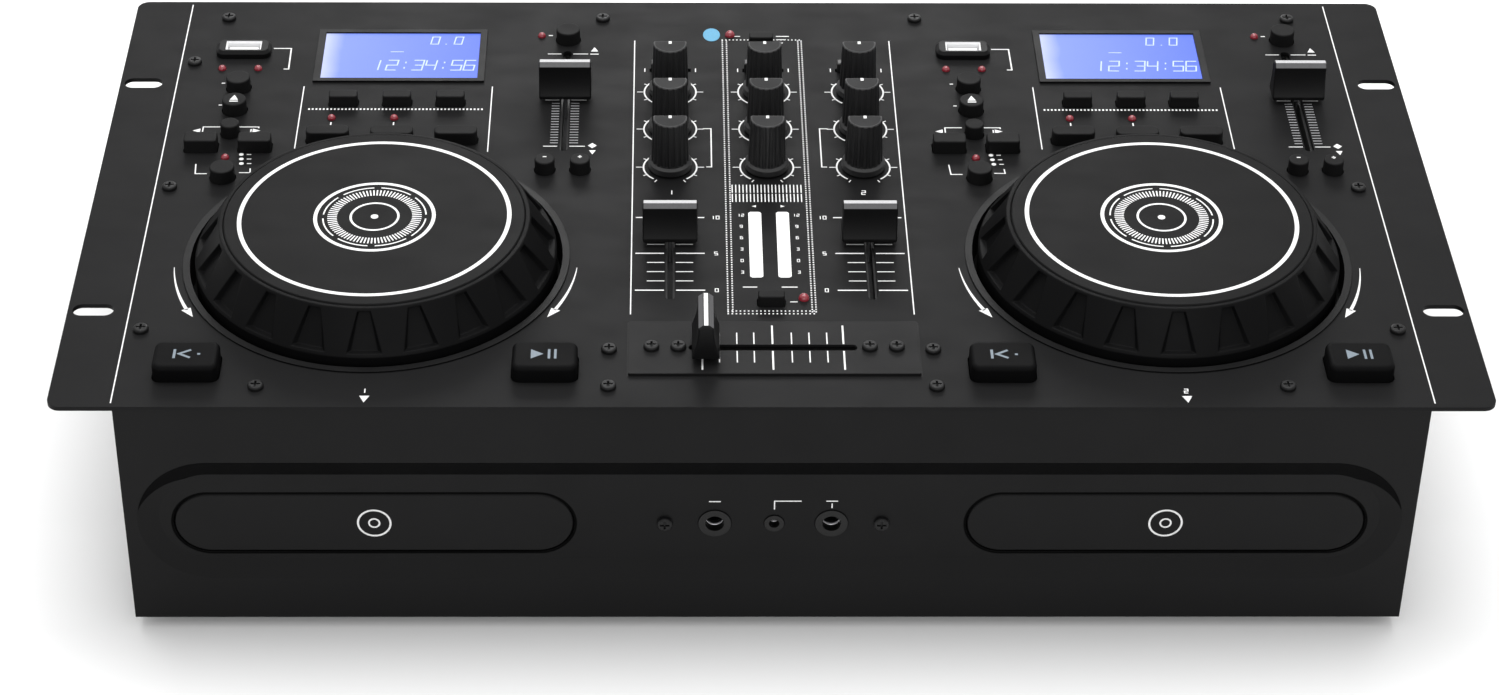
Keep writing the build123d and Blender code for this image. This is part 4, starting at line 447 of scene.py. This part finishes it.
WHITE = ink("white_ink", (0.82, 0.82, 0.82))
# grey that paints the sheen on the fader caps' sloping strips
CAP_SLOPE_SHEEN = ink("cap_slope_painted_sheen", (0.075, 0.075, 0.078))
RIDGE_INK = ink("ridge_ink", (0.46, 0.46, 0.47))
DIM_INK = ink("dim_ink", (0.34, 0.34, 0.35))
LIT_MARK = ink("lit_mark", (0.17, 0.21, 0.25), 0.5, 0.03)
BLUE_BADGE = ink("badge_blue", (0.055, 0.28, 0.46), 0.5, 0.08)
FIGURE_GLOW = ink("display_figures", (0.34, 0.42, 1.0), 0.5, 0.62)
RED = lamp_glass("red_lens", (0.24, 0.014, 0.026), 0.12)
WINDOW = ink("meter_window", (0.9, 0.9, 0.9), 0.2, 0.12)

# the memory socket's shell, the plug barrels and the blades are bright metal inside dark plastic
shell_masks = [
    USB.region((0, x - 59.6 - 6.7, x - 59.6 + 6.7), (1, 93.2 - 3.05, 93.2 + 3.05)) for x in DECKS.values()
]
tongue_masks = [
    USB.region((0, x - 59.6 - 5.6, x - 59.6 + 5.6), (1, 93.2 - 0.95, 93.2 + 0.95)) for x in DECKS.values()
]
recolour(USB, USB.any_of(shell_masks), (0.9, 0.9, 0.91), 1.0, 0.32)
recolour(USB, USB.any_of(tongue_masks), (0.9, 0.9, 0.9), 0.0, 0.4)
barrels = REAR.region((0, -200, -60), (1, 121.8, 140))
blades = REAR.region((0, 166, 186), (1, 105, 118), (2, 43, 53))
recolour(REAR, REAR.any_of([barrels, blades]), (0.66, 0.66, 0.67), 1.0, 0.25)
# the boards under the panel are hidden, but their fittings stay black
recolour(BOARD, BOARD.any_of([BOARD.inside(2, 87.81, 97), BOARD.inside(2, 15.65, 34)]), (0.02, 0.02, 0.02))
# blades of the faders, below the caps
for nodes_of, low, high in ((CAP, 80, TOP + 1.95), (LEVER, 80, TOP + 0.35)):
    recolour(nodes_of, nodes_of.inside(2, low, high), (0.55, 0.55, 0.57), 1.0, 0.25)

FINISH = {
    "top_panel": PANEL, "chassis": CHASSIS, "front_panel": FACE, "crossfader_plate": PLATE,
    "jog_wells": WELL, "displays_and_lamps": DISPLAY, "usb_sockets": USB, "front_jacks": JACK,
    "rear_sockets": REAR, "circuit_boards": BOARD, "disc_mechanisms": STEEL, "screws": SCREW,
    "feet": FOOT, "power_rocker": ROCKER, "source_levers": LEVER, "mixer_keys": KEY,
    "crossfader": CAP,
}
PREFIXES = {
    "jog_wheel": JOG, "jog_plate": JOG_PLATE, "pitch_fader": CAP, "channel_fader": CAP, "tray_door": DOOR,
    "tray_": TRAY, "loading_gear": GEAR, "cue_key": START, "play_key": START, "knob": KNOB,
}


def finish_of(name):
    if name in FINISH:
        return FINISH[name].material
    for prefix, nodes in PREFIXES.items():
        if name.startswith(prefix):
            return nodes.material
    return KEY.material


for name, obj in NODES.items():
    for slot in obj.material_slots:
        slot.material = finish_of(name)

# ---------------------------------------------------------------- prints on the panel
edge_lines = Drawing(TOP)
for x in (-220.0, 220.6):
    edge_lines.line(x, -128.0, x, 127.8, 0.42)
edge_lines.build("panel_edge_lines", "cabinet", WHITE)


def deck_print(deck, dx):
    draw = Drawing(TOP)
    # lines round the display keys
    draw.ribbon([(dx - 34.8, 68.6), (dx - 34.8, 26.0)], 0.4)
    draw.ribbon([(dx + 36.0, 68.6), (dx + 36.0, 24.0)], 0.4)
    for k in range(48):
        x = dx - 32.0 + 1.37 * k
        draw.box(x, 52.3, x + 0.65, 53.3)
    for x in (-22.8, 0.4):
        draw.line(dx + x, 43.8, dx + x, 41.2, 0.5)
    # socket bracket
    draw.ribbon([(dx - 48.6, 95.7), (dx - 41.9, 95.7), (dx - 41.7, 80.9), (dx - 43.6, 80.9)], 0.5)
    # dashes beside the select and eject keys
    draw.line(dx - 66.0, 70.8, dx - 64.7, 70.8, 0.5)
    draw.line(dx - 65.6, 55.5, dx - 64.3, 55.5, 0.5)
    # track bracket, jog mode bracket and its list marks
    draw.ribbon([(dx - 69.7, 36.4), (dx - 69.7, 40.5), (dx - 63.4, 40.5)], 0.45)
    draw.ribbon([(dx - 56.4, 40.5), (dx - 49.2, 40.5), (dx - 49.2, 39.7)], 0.45)
    draw.line(dx - 51.9, 36.4, dx - 51.9, 39.0, 0.45)
    draw.triangle(dx - 71.7, 38.0, 1.7, 180)
    draw.triangle(dx - 50.2, 38.0, 1.7, 0)
    draw.ribbon([(dx - 69.8, 15.6), (dx - 69.4, 9.3), (dx - 65.2, 9.3)], 0.45)
    draw.ribbon([(dx - 53.6, 10.0), (dx - 49.6, 10.0), (dx - 49.8, 12.8)], 0.45)
    for x, y in ((-53.9, 22.0), (-53.6, 19.0), (-53.3, 16.0)):
        draw.disc(dx + x, y, 0.85, 20)
        draw.line(dx + x + 2.0, y, dx + x + 3.6, y, 0.45)
    # pitch scale
    for y in (92.0, 59.3, 27.75):
        draw.line(dx + 56.2, y, dx + 61.4, y, 0.4)
        draw.line(dx + 65.9, y, dx + 71.6, y, 0.4)
    draw.triangle(dx + 74.0, 95.0, 1.8, 90)
    draw.line(dx + 72.4, 91.9, dx + 75.6, 91.9, 0.5)
    draw.plate([(dx + 74.3, 29.9), (dx + 75.9, 28.2), (dx + 74.3, 26.5), (dx + 72.7, 28.2)])
    draw.triangle(dx + 74.4, 24.0, 1.6, 270)
    draw.line(dx + 56.2, 105.4, dx + 57.8, 105.4, 0.5)
    # turning arrows outside the wheel: a tail that widens into a pointed head
    for side in (-1, 1):
        outer, inner = [], []
        for k in range(25):
            turn = math.radians(270 + side * (85 - 21.5 * k / 24))
            half = 0.12 + 0.5 * k / 24
            outer.append((dx + (70.6 + half) * math.cos(turn), JOG_Y + (70.6 + half) * math.sin(turn)))
            inner.append((dx + (70.6 - half) * math.cos(turn), JOG_Y + (70.6 - half) * math.sin(turn)))
        draw.plate(outer + inner[::-1])
        neck, tip = (math.radians(270 + side * turn) for turn in (64.0, 59.6))
        head = ((72.4, neck), (70.4, tip), (69.0, neck))
        draw.plate([(dx + r * math.cos(t), JOG_Y + r * math.sin(t)) for r, t in head])
    # deck mark in front of the wheel
    draw.triangle(dx + 1.1, -125.4, 2.2, 270)
    draw.figures(str(deck), dx + 1.1, -121.2, 2.2, 0.4)
    draw.build(f"deck_print_{deck}", "cabinet", WHITE)
    scale = Drawing(TOP)
    for k in range(16):
        y = 57.0 - k * 1.8
        scale.line(dx + 58.7, y, dx + 61.6, y, 0.42)
        scale.line(dx + 65.8, y, dx + 69.0, y, 0.42)
    scale.build(f"pitch_scale_{deck}", "cabinet", DIM_INK)


for deck, dx in DECKS.items():
    deck_print(deck, dx)


def mixer_print():
    draw = Drawing(TOP)
    for x in (-47.9, 49.7):
        draw.line(x, 101.7, x, -77.6, 0.4)
    # dotted frame round the middle column
    for x in (-14.3, -12.7, 14.7, 16.0):
        for k in range(127):
            y = 101.6 - 1.41 * k
            draw.box(x - 0.26, y - 0.3, x + 0.26, y + 0.3)
    for x in np.arange(-14.3, 16.1, 1.41):
        for y in (-75.6, -77.2, 102.4):
            draw.box(x - 0.26, y - 0.3, x + 0.26, y + 0.3)
    for x in np.arange(-11.9, 13.2, 1.31):
        draw.box(x - 0.2, -8.6, x + 0.2, -3.5)
        draw.box(x - 0.2, -2.7, x + 0.2, 2.4)
    # knob scales: arcs on both sides, ticks and end marks
    for x in COLUMNS.values():
        for y in ROWS.values():
            draw.arc(x, y, 9.7, -52, 38, 0.6)
            draw.arc(x, y, 9.7, 142, 232, 0.6)
            for k in range(11):
                turn = math.radians(-60 + 30 * k)
                c, s = math.cos(turn), math.sin(turn)
                reach = 12.4 if k in (2, 8) else 11.2
                draw.line(x + 9.7 * c, y + 9.7 * s, x + reach * c, y + reach * s, 0.4)
    # equaliser brackets
    for side in (-1, 1):
        x = MIXER_X + side * 20.1
        draw.ribbon([(x + side * 3.0, 39.7), (x, 39.7), (x, 14.1), (x + side * 1.9, 14.1)], 0.45)
    # channel numbers and scales
    for channel, x in ((1, COLUMNS["left"]), (2, COLUMNS["right"])):
        draw.figures(str(channel), x + (0.6 if channel == 1 else -0.6), -2.6, 2.4, 0.4)
        for k, y in enumerate(np.linspace(-18.6, -63.3, 9)):
            whole = k % 4 == 0
            near, far = (2.1, 12.2) if whole else (2.0, 8.1)
            draw.line(x - far, y, x - near, y, 0.55 if whole else 0.4)
            draw.line(x + near, y, x + far, y, 0.55 if whole else 0.4)
        number_x = MIXER_X + (-19.0 if channel == 1 else 19.2)
        for text, y in (("10", -18.6), ("5", -41.0), ("0", -63.3)):
            draw.figures(text, number_x, y, 1.9, 0.32)
    # meter numbers and side marks
    for k, text in enumerate(("12", "9", "6", "3", "0", "3")):
        y = -17.1 - 7.06 * k
        for side in (-1, 1):
            draw.figures(text, MIXER_X + side * 9.9, y, 1.5, 0.26)
    draw.triangle(MIXER_X - 5.0, -11.4, 0.9, 180)
    draw.triangle(MIXER_X + 5.0, -11.4, 0.9, 0)
    # lever marks
    for x in COLUMNS.values():
        for end in (-9.6, 9.6):
            draw.line(x + end, 80.4 - 1.2, x + end, 80.4 + 1.2, 0.4)
        draw.triangle(x, 76.6, 1.0, 270)
    # key marks
    for y, x in ((105.0, -9.6), (-70.2, 7.6)):
        draw.line(MIXER_X + x - 1.3, y, MIXER_X + x + 1.3, y, 0.4)
    for k in range(3):
        draw.line(6.4, 105.0 - 2.4 * k, 11.4 - 1.2 * k, 105.0 - 2.4 * k, 0.5)
    draw.line(-9.0, -61.4, -4.0, -61.4, 0.5)
    draw.line(4.5, -61.4, 10.0, -61.4, 0.5)
    draw.build("mixer_print", "cabinet", WHITE)
    turns = [2 * math.pi * k / 48 for k in range(48)]
    badge = Drawing(TOP, 0.12)
    badge.plate([(-18.4 + 3.25 * math.cos(t), 106.0 + 4.7 * math.sin(t)) for t in turns])
    badge.build("mixer_badge", "cabinet", BLUE_BADGE)


mixer_print()

# crossfader scale, on the plate
scale = Drawing(PLATE_TOP)
LONG_TICKS = (-23.4, 0.5, 24.6)
for x in (-23.4, -17.6, -11.6, -5.8, 0.5, 7.0, 13.0, 19.05, 24.6):
    whole = x in LONG_TICKS
    reach = 12.6 if whole else 8.5
    for side in (-1, 1):
        scale.line(x, CROSSFADER_Y + side * 2.0, x, CROSSFADER_Y + side * reach, 0.6 if whole else 0.4)
scale.build("crossfader_scale", "cabinet", WHITE)
rim = Drawing(TOP)
plate_left, plate_right = MIXER_X - 49.5, MIXER_X + 49.5
rim.ribbon([(plate_left, -113.0), (plate_right, -113.0), (plate_right, -82.8), (plate_left, -82.8)],
           0.6, True)
rim.build("plate_shadow_line", "cabinet", WELL.material)

# ---------------------------------------------------------------- marks on the keys
for deck, dx in DECKS.items():
    eject = Drawing(KEY_TOP)
    eject.triangle(dx - 59.2, 52.7, 2.0, 90)
    eject.box(dx - 60.8, 50.1, dx - 57.6, 50.7)
    eject.build(f"eject_mark_{deck}", f"eject_key_{deck}", WHITE)

    bend = Drawing(KEY_TOP)
    bend.figures("-", dx + 57.3, 13.2, 2.4, 0.5)
    bend.figures("+", dx + 70.1, 13.2, 2.6, 0.5)
    bend.build(f"bend_marks_{deck}", f"bend_keys_{deck}", WHITE)

    cue = Drawing(START_TOP)
    cx, cy = dx - 59.5, START_Y
    cue.ribbon([(cx + 1.6, cy + 2.2), (cx - 2.2, cy), (cx + 1.6, cy - 2.2)], 0.9)
    cue.line(cx - 3.8, cy - 2.5, cx - 3.8, cy + 2.5, 0.9)
    cue.line(cx + 3.9, cy - 0.1, cx + 4.9, cy - 0.1, 0.9)
    cue.build(f"cue_mark_{deck}", f"cue_key_{deck}", LIT_MARK)

    play = Drawing(START_TOP)
    px = dx + 60.8
    play.plate([(px - 4.6, cy - 2.6), (px - 0.4, cy), (px - 4.6, cy + 2.6)])
    for x in (1.5, 3.6):
        play.line(px + x, cy - 2.6, px + x, cy + 2.6, 0.85)
    play.build(f"play_mark_{deck}", f"play_key_{deck}", LIT_MARK)

# ---------------------------------------------------------------- jog prints
for deck, dx in DECKS.items():
    rings = Drawing(JOG_TOP)
    rings.ring(dx, JOG_Y, 46.9, 1.5, 192)
    rings.ring(dx, JOG_Y, 20.6, 1.3, 128)
    for start in range(0, 360, 45):
        rings.arc(dx, JOG_Y, 17.9, start + 4, start + 41, 0.5, 12)
    for k in range(80):
        turn = 2 * math.pi * k / 80
        c, s = math.cos(turn), math.sin(turn)
        rings.line(dx + 13.1 * c, JOG_Y + 13.1 * s, dx + 16.4 * c, JOG_Y + 16.4 * s, 0.5)
    rings.ring(dx, JOG_Y, 8.3, 0.8, 96)
    rings.disc(dx, JOG_Y, 1.3, 32)
    rings.build(f"jog_rings_{deck}", f"jog_{deck}", WHITE)

# ---------------------------------------------------------------- knob pointers
SLOPE = math.radians(50.0)


def pointer(name, x, y):
    """A white line down the sloping face, and its end on the flat top."""
    z = KNOB_CROWN
    half = 0.55
    cut = y + 1.4
    lift = 0.06
    rear, drop = 5.0 * math.cos(SLOPE), 5.0 * math.sin(SLOPE)
    up_y, up_z = lift * math.sin(SLOPE), lift * math.cos(SLOPE)
    outline = [(cut - 1.7, z + lift), (cut + up_y * 0.5, z + lift), (cut + rear + up_y, z - drop + up_z)]
    inner = [(cut - 1.7, z - 0.05), (cut - 0.02, z - 0.05), (cut + rear - up_y, z - drop - up_z)]
    points = []
    for side in (-half, half):
        points += [(x + side, py, pz) for py, pz in outline] + [(x + side, py, pz) for py, pz in inner]
    faces = []
    for k in range(2):
        faces.append([k, k + 6, k + 7, k + 1])
        faces.append([k + 3, k + 4, k + 10, k + 9])
        faces.append([k, k + 1, k + 4, k + 3])
        faces.append([k + 6, k + 9, k + 10, k + 7])
    faces.append([0, 3, 9, 6])
    faces.append([2, 8, 11, 5])
    solid(f"{name}_pointer", points, faces, name, WHITE)


def knob_top(name, x, y):
    """A grey insert on the flat half of the knob's top."""
    chord = 1.2
    r = 5.6
    end = math.asin(chord / r)
    turns = np.linspace(math.pi - end, 2 * math.pi + end, 40)
    draw = Drawing(KNOB_CROWN, 0.03)
    draw.plate([(x + r * math.cos(t), y + r * math.sin(t)) for t in turns])
    draw.build(f"{name}_top", name, KNOB_TOP.material)


KNOB_TOP = surface("knob_top_satin", (0.013, 0.013, 0.0135), 0.42, 0.25, 0.006, 0.08, 0.1, 0.1,
                   specular=0.08)
for column, x in COLUMNS.items():
    for row, y in ROWS.items():
        pointer(f"knob_{column}_{row}", x, y)
        knob_top(f"knob_{column}_{row}", x, y)


# ---------------------------------------------------------------- fader caps
def cap_marks(name, x, y, surface_z, along_x=False):
    """White bar along the ridge, and grey bars of painted sheen down both sloping strips."""
    top = surface_z + 2.0 + 14.0
    half = 9.3

    def place(u, v, z):
        """u runs along the cap, v in its direction of travel."""
        return (x + v, y + u, z) if along_x else (x + u, y + v, z)

    half_ridge, ridge_ink = (0.7, WHITE) if along_x else (0.95, RIDGE_INK)
    for mark, v0, z0, v1, z1, material in (
        ("ridge", -half_ridge, top + 0.05, half_ridge, top + 0.05, ridge_ink),
        ("slope_a", 1.05, top - 0.02, 2.55, top - 1.22, CAP_SLOPE_SHEEN),
        ("slope_b", -2.55, top - 1.22, -1.05, top - 0.02, CAP_SLOPE_SHEEN),
    ):
        rise = 0.12
        points = [place(-half, v0, z0), place(half, v0, z0), place(half, v1, z1), place(-half, v1, z1)]
        points += [(px, py, pz - rise) for px, py, pz in points]
        faces = [[0, 1, 2, 3], [7, 6, 5, 4], [0, 4, 5, 1], [1, 5, 6, 2], [2, 6, 7, 3], [3, 7, 4, 0]]
        solid(f"{name}_{mark}", points, faces, name, material)


for deck, dx in DECKS.items():
    cap_marks(f"pitch_fader_{deck}", dx + 63.7, 61.3, TOP)
for channel, x in ((1, COLUMNS["left"]), (2, COLUMNS["right"])):
    cap_marks(f"channel_fader_{channel}", x, -32.2, TOP)
cap_marks("crossfader", 0.6 - 22.8, CROSSFADER_Y, PLATE_TOP, True)

# ---------------------------------------------------------------- lamps, windows and displays
DECK_LAMPS = [(-66.8, 81.0), (-53.2, 81.0), (-59.6, 19.8), (-22.8, 46.6), (0.4, 46.6), (53.6, 105.0)]
lamps = [(f"mixer_{k}", MIXER_X + x, y) for k, (x, y) in enumerate([(-12.2, 105.8), (11.1, -68.2)])]
lamps += [(f"deck_{d}_{k}", dx + x, y) for d, dx in DECKS.items() for k, (x, y) in enumerate(DECK_LAMPS)]
for name, x, y in lamps:
    r = 1.95 if name.startswith("mixer") else 1.54
    lens(f"lamp_{name}", x, y, r, r, TOP + 0.02, "cabinet", RED)

METER_OUTLINE = [(-2.3, -19.6), (-1.6, -20.3), (1.6, -20.3), (2.3, -19.6),
                 (2.3, 19.6), (1.6, 20.3), (-1.6, 20.3), (-2.3, 19.6)]
for side in (-1, 1):
    window = Drawing(TOP, 0.05)
    x = MIXER_X + side * 4.95
    window.plate([(x + u, -35.3 + v) for u, v in METER_OUTLINE])
    window.build("meter_window_left" if side < 0 else "meter_window_right", "cabinet", WINDOW)

for deck, dx in DECKS.items():
    cx, cy = dx + 0.4, 90.0
    glass_z = TOP + 0.2
    glow = Drawing(glass_z, 0.05)
    glow.box(cx - 29.6, cy - 16.3, cx + 29.6, cy + 16.3)
    glow.build(f"display_glow_{deck}", "cabinet", screen_material(f"screen_{deck}", cx))
    marks = Drawing(glass_z + 0.05, 0.05)
    marks.figures("0.0", cx + 17.0, cy + 11.2, 5.2, 0.5, 0.86, 0.12)
    marks.figures("12:34:56", cx + 9.2, cy - 6.6, 7.0, 0.55, 0.7, 0.12)
    marks.line(cx - 4.2, cy + 3.0, cx + 0.8, cy + 3.0, 0.4)
    marks.build(f"display_figures_{deck}", "cabinet", FIGURE_GLOW)

# ---------------------------------------------------------------- front face
# a near-black finish that paints the shade in the gaps round the doors
DOOR_GAP_SHADE = surface("door_gap_painted_shade", (0.0012, 0.0012, 0.0012), 0.6, 0.3, 0.004, 0.1, 0.0, 0.1, specular=0.02)
# a near-black finish that paints the deep shade on the upper bevel of the recess
RECESS_BEVEL_SHADE = surface("bevel_painted_shade", (0.0016, 0.0016, 0.0017), 0.55, 0.3, 0.01, 0.14, 0.0, 0.1, specular=0.03)


def face_ring(name, x, r_in, r_out, y0, y1, material, body="cabinet"):
    """A ring that faces the player, from y0 outward to y1."""
    profile = [(r_in, -y0), (r_out, -y0), (r_out, -y1), (r_in, -y1)]
    turned(name, (x, 0, FACE_Z), profile, body, material, "Y", 64)


for tray, x in TRAYS.items():
    body = f"tray_{tray}"
    face_ring(f"door_disc_outer_{tray}", x, 5.2, 5.9, DOOR_Y + 0.03, DOOR_Y - 0.06, WHITE, body)
    face_ring(f"door_disc_inner_{tray}", x, 1.5, 2.1, DOOR_Y + 0.03, DOOR_Y - 0.06, WHITE, body)
for name, x, r in (("left", -19.0, 3.2), ("middle", 1.3, 1.8), ("right", 20.9, 3.2)):
    face_ring(f"jack_contact_{name}", x, r - 0.3, r - 0.05, -121.0, -123.4, METAL.material)


def face_ribbon(draw_paths, name):
    """A print on the recess floor: the paths are (x, z) points."""
    flat = Drawing(0.0)
    for path in draw_paths:
        flat.ribbon(path, 0.4)
    points = [(x, DOOR_Y - z, y) for x, y, z in flat.points]
    faces = [list(reversed(face)) for face in flat.faces]
    solid(name, points, faces, "cabinet", WHITE)


face_ribbon([
    [(1.3, 51.0), (1.3, 54.6), (10.5, 54.6)],
    [(20.9, 51.6), (20.9, 53.6)],
    [(-21.0, 54.4), (-17.0, 54.4)],
    [(18.9, 54.6), (22.9, 54.6)],
], "jack_marks")


def slot_outline(x, z, width, height, start=0.0, end=2 * math.pi, steps=48):
    """Points of a long slot's outline, by the turn about the centres of its round ends."""
    r = height / 2
    points = []
    for t in np.linspace(start, end, steps, endpoint=end - start < 6.28):
        shift = (width / 2 - r) * (1 if math.cos(t) > 0 else -1)
        points.append((x + shift + r * math.cos(t), z + r * math.sin(t)))
    return points


# painted shade: dark ribbons in the gaps round the doors, and a dark sheet on the upper bevel of the recess
# for its deep shade
for tray, x in TRAYS.items():
    groove = Drawing(0.0)
    groove.ribbon(slot_outline(x, FACE_Z, 137.6, 26.2), 0.75, True)
    points = [(u, DOOR_Y - w, v) for u, v, w in groove.points]
    faces = [list(reversed(face)) for face in groove.faces]
    solid(f"door_gap_shade_{tray}", points, faces, "cabinet", DOOR_GAP_SHADE.material)

SHADE_END = 0.2             # turn at which the shade starts and stops, and the turn it tapers over
SHADE_TAPER = 0.9
outer = slot_outline(0.0, RECESS_Z, 430.4, 50.1, SHADE_END, math.pi - SHADE_END)
inner = slot_outline(0.0, RECESS_Z, 417.2, 36.9, SHADE_END, math.pi - SHADE_END)
# towards both ends the band narrows to the slope's outer edge
travel = np.linspace(0.0, math.pi - 2 * SHADE_END, len(outer))
shares = np.clip(np.minimum(travel, travel[::-1]) / SHADE_TAPER, 0.03, 1.0)
points = []
for (ox, oz), (ix, iz), share in zip(outer, inner, shares):
    ix, iz = ox + (ix - ox) * share, oz + (iz - oz) * share
    iy = FACE_Y - 0.04 + (DOOR_Y - 0.2 - FACE_Y) * share
    points += [(ox, FACE_Y - 0.04, oz), (ix, iy, iz), (ix, iy + 0.34, iz), (ox, FACE_Y + 0.3, oz)]
count = len(outer)
faces = [[0, 1, 2, 3], [4 * count - 1, 4 * count - 2, 4 * count - 3, 4 * count - 4]]
for i in range(count - 1):
    for k in range(4):
        m = (k + 1) % 4
        faces.append([4 * i + m, 4 * i + k, 4 * i + 4 + k, 4 * i + 4 + m])
solid("recess_shade", points, faces, "cabinet", RECESS_BEVEL_SHADE.material)

# ---------------------------------------------------------------- stage
floor_nodes = Nodes("pale_floor")
spread = floor_nodes.noise(3.0, 2.0)
floor_nodes.link(floor_nodes.mix(spread, [0.90, 0.90, 0.90, 1], [0.93, 0.93, 0.93, 1]),
                 floor_nodes.shader.inputs["Base Color"])
floor_nodes.shader.inputs["Roughness"].default_value = 0.8
floor_nodes.shader.inputs["Specular IOR Level"].default_value = 0.1
floor_mesh = bpy.data.meshes.new("floor")
floor_mesh.from_pydata([(-8, -6, 0), (8, -6, 0), (8, 10, 0), (-8, 10, 0)], [], [[0, 1, 2, 3]])
floor_mesh.materials.append(floor_nodes.material)
floor = bpy.data.objects.new("floor", floor_mesh)
bpy.context.scene.collection.objects.link(floor)

world = bpy.data.worlds.new("studio")
world.use_nodes = True
world.node_tree.nodes["Background"].inputs[0].default_value = (1, 1, 1, 1)
world.node_tree.nodes["Background"].inputs[1].default_value = 0.8
bpy.context.scene.world = world


def area(name, place, target, size, power):
    light = bpy.data.lights.new(name, "AREA")
    light.shape = "RECTANGLE"
    light.size, light.size_y = size
    light.energy = power
    lamp = bpy.data.objects.new(name, light)
    lamp.location = place
    direction = np.array(target, float) - np.array(place, float)
    back = -direction / np.linalg.norm(direction)
    right = np.cross((0, 1, 0.01), back)
    right /= np.linalg.norm(right)
    up = np.cross(back, right)
    lamp.rotation_euler = Matrix((right, up, back)).transposed().to_euler()
    bpy.context.scene.collection.objects.link(lamp)


area("overhead_softbox", (0.0, 0.35, 1.7), (0, 0, 0.05), (1.8, 1.0), 26.0)
area("rear_card", (0.0, 2.3, 1.15), (0, 0.1, 0.1), (1.1, 0.7), 14.0)
area("front_fill", (0.1, -1.9, 1.2), (0, 0, 0.05), (1.6, 0.8), 8.0)

# camera fitted to the photograph, which is 1500 pixels wide
WIDTH = 1500
FOCAL = 3571.146            # in pixels, as is the optical centre
CENTRE_X = 708.018
SENSOR_W = 36.0
PITCH, YAW, ROLL = (math.radians(a) for a in (36.408, -0.759, 0.479))
yaw_turn = Matrix.Rotation(YAW, 3, "Z")
right = yaw_turn @ Vector((1, 0, 0))
ahead = yaw_turn @ Vector((0, math.cos(PITCH), -math.sin(PITCH)))
upward = yaw_turn @ Vector((0, math.sin(PITCH), math.cos(PITCH)))
rolled_right = right * math.cos(ROLL) + upward * math.sin(ROLL)
rolled_up = upward * math.cos(ROLL) - right * math.sin(ROLL)
camera_data = bpy.data.cameras.new("camera")
camera_data.sensor_width = SENSOR_W
camera_data.sensor_fit = "HORIZONTAL"
camera_data.lens = FOCAL * SENSOR_W / WIDTH
camera_data.shift_x = (WIDTH / 2 - CENTRE_X) / WIDTH
camera = bpy.data.objects.new("camera", camera_data)
camera.matrix_world = Matrix((rolled_right, rolled_up, -ahead)).transposed().to_4x4()
camera.location = (-0.03433, -1.07226, 0.81729)
bpy.context.scene.collection.objects.link(camera)
bpy.context.scene.camera = camera
bpy.context.scene.view_settings.view_transform = "Standard"
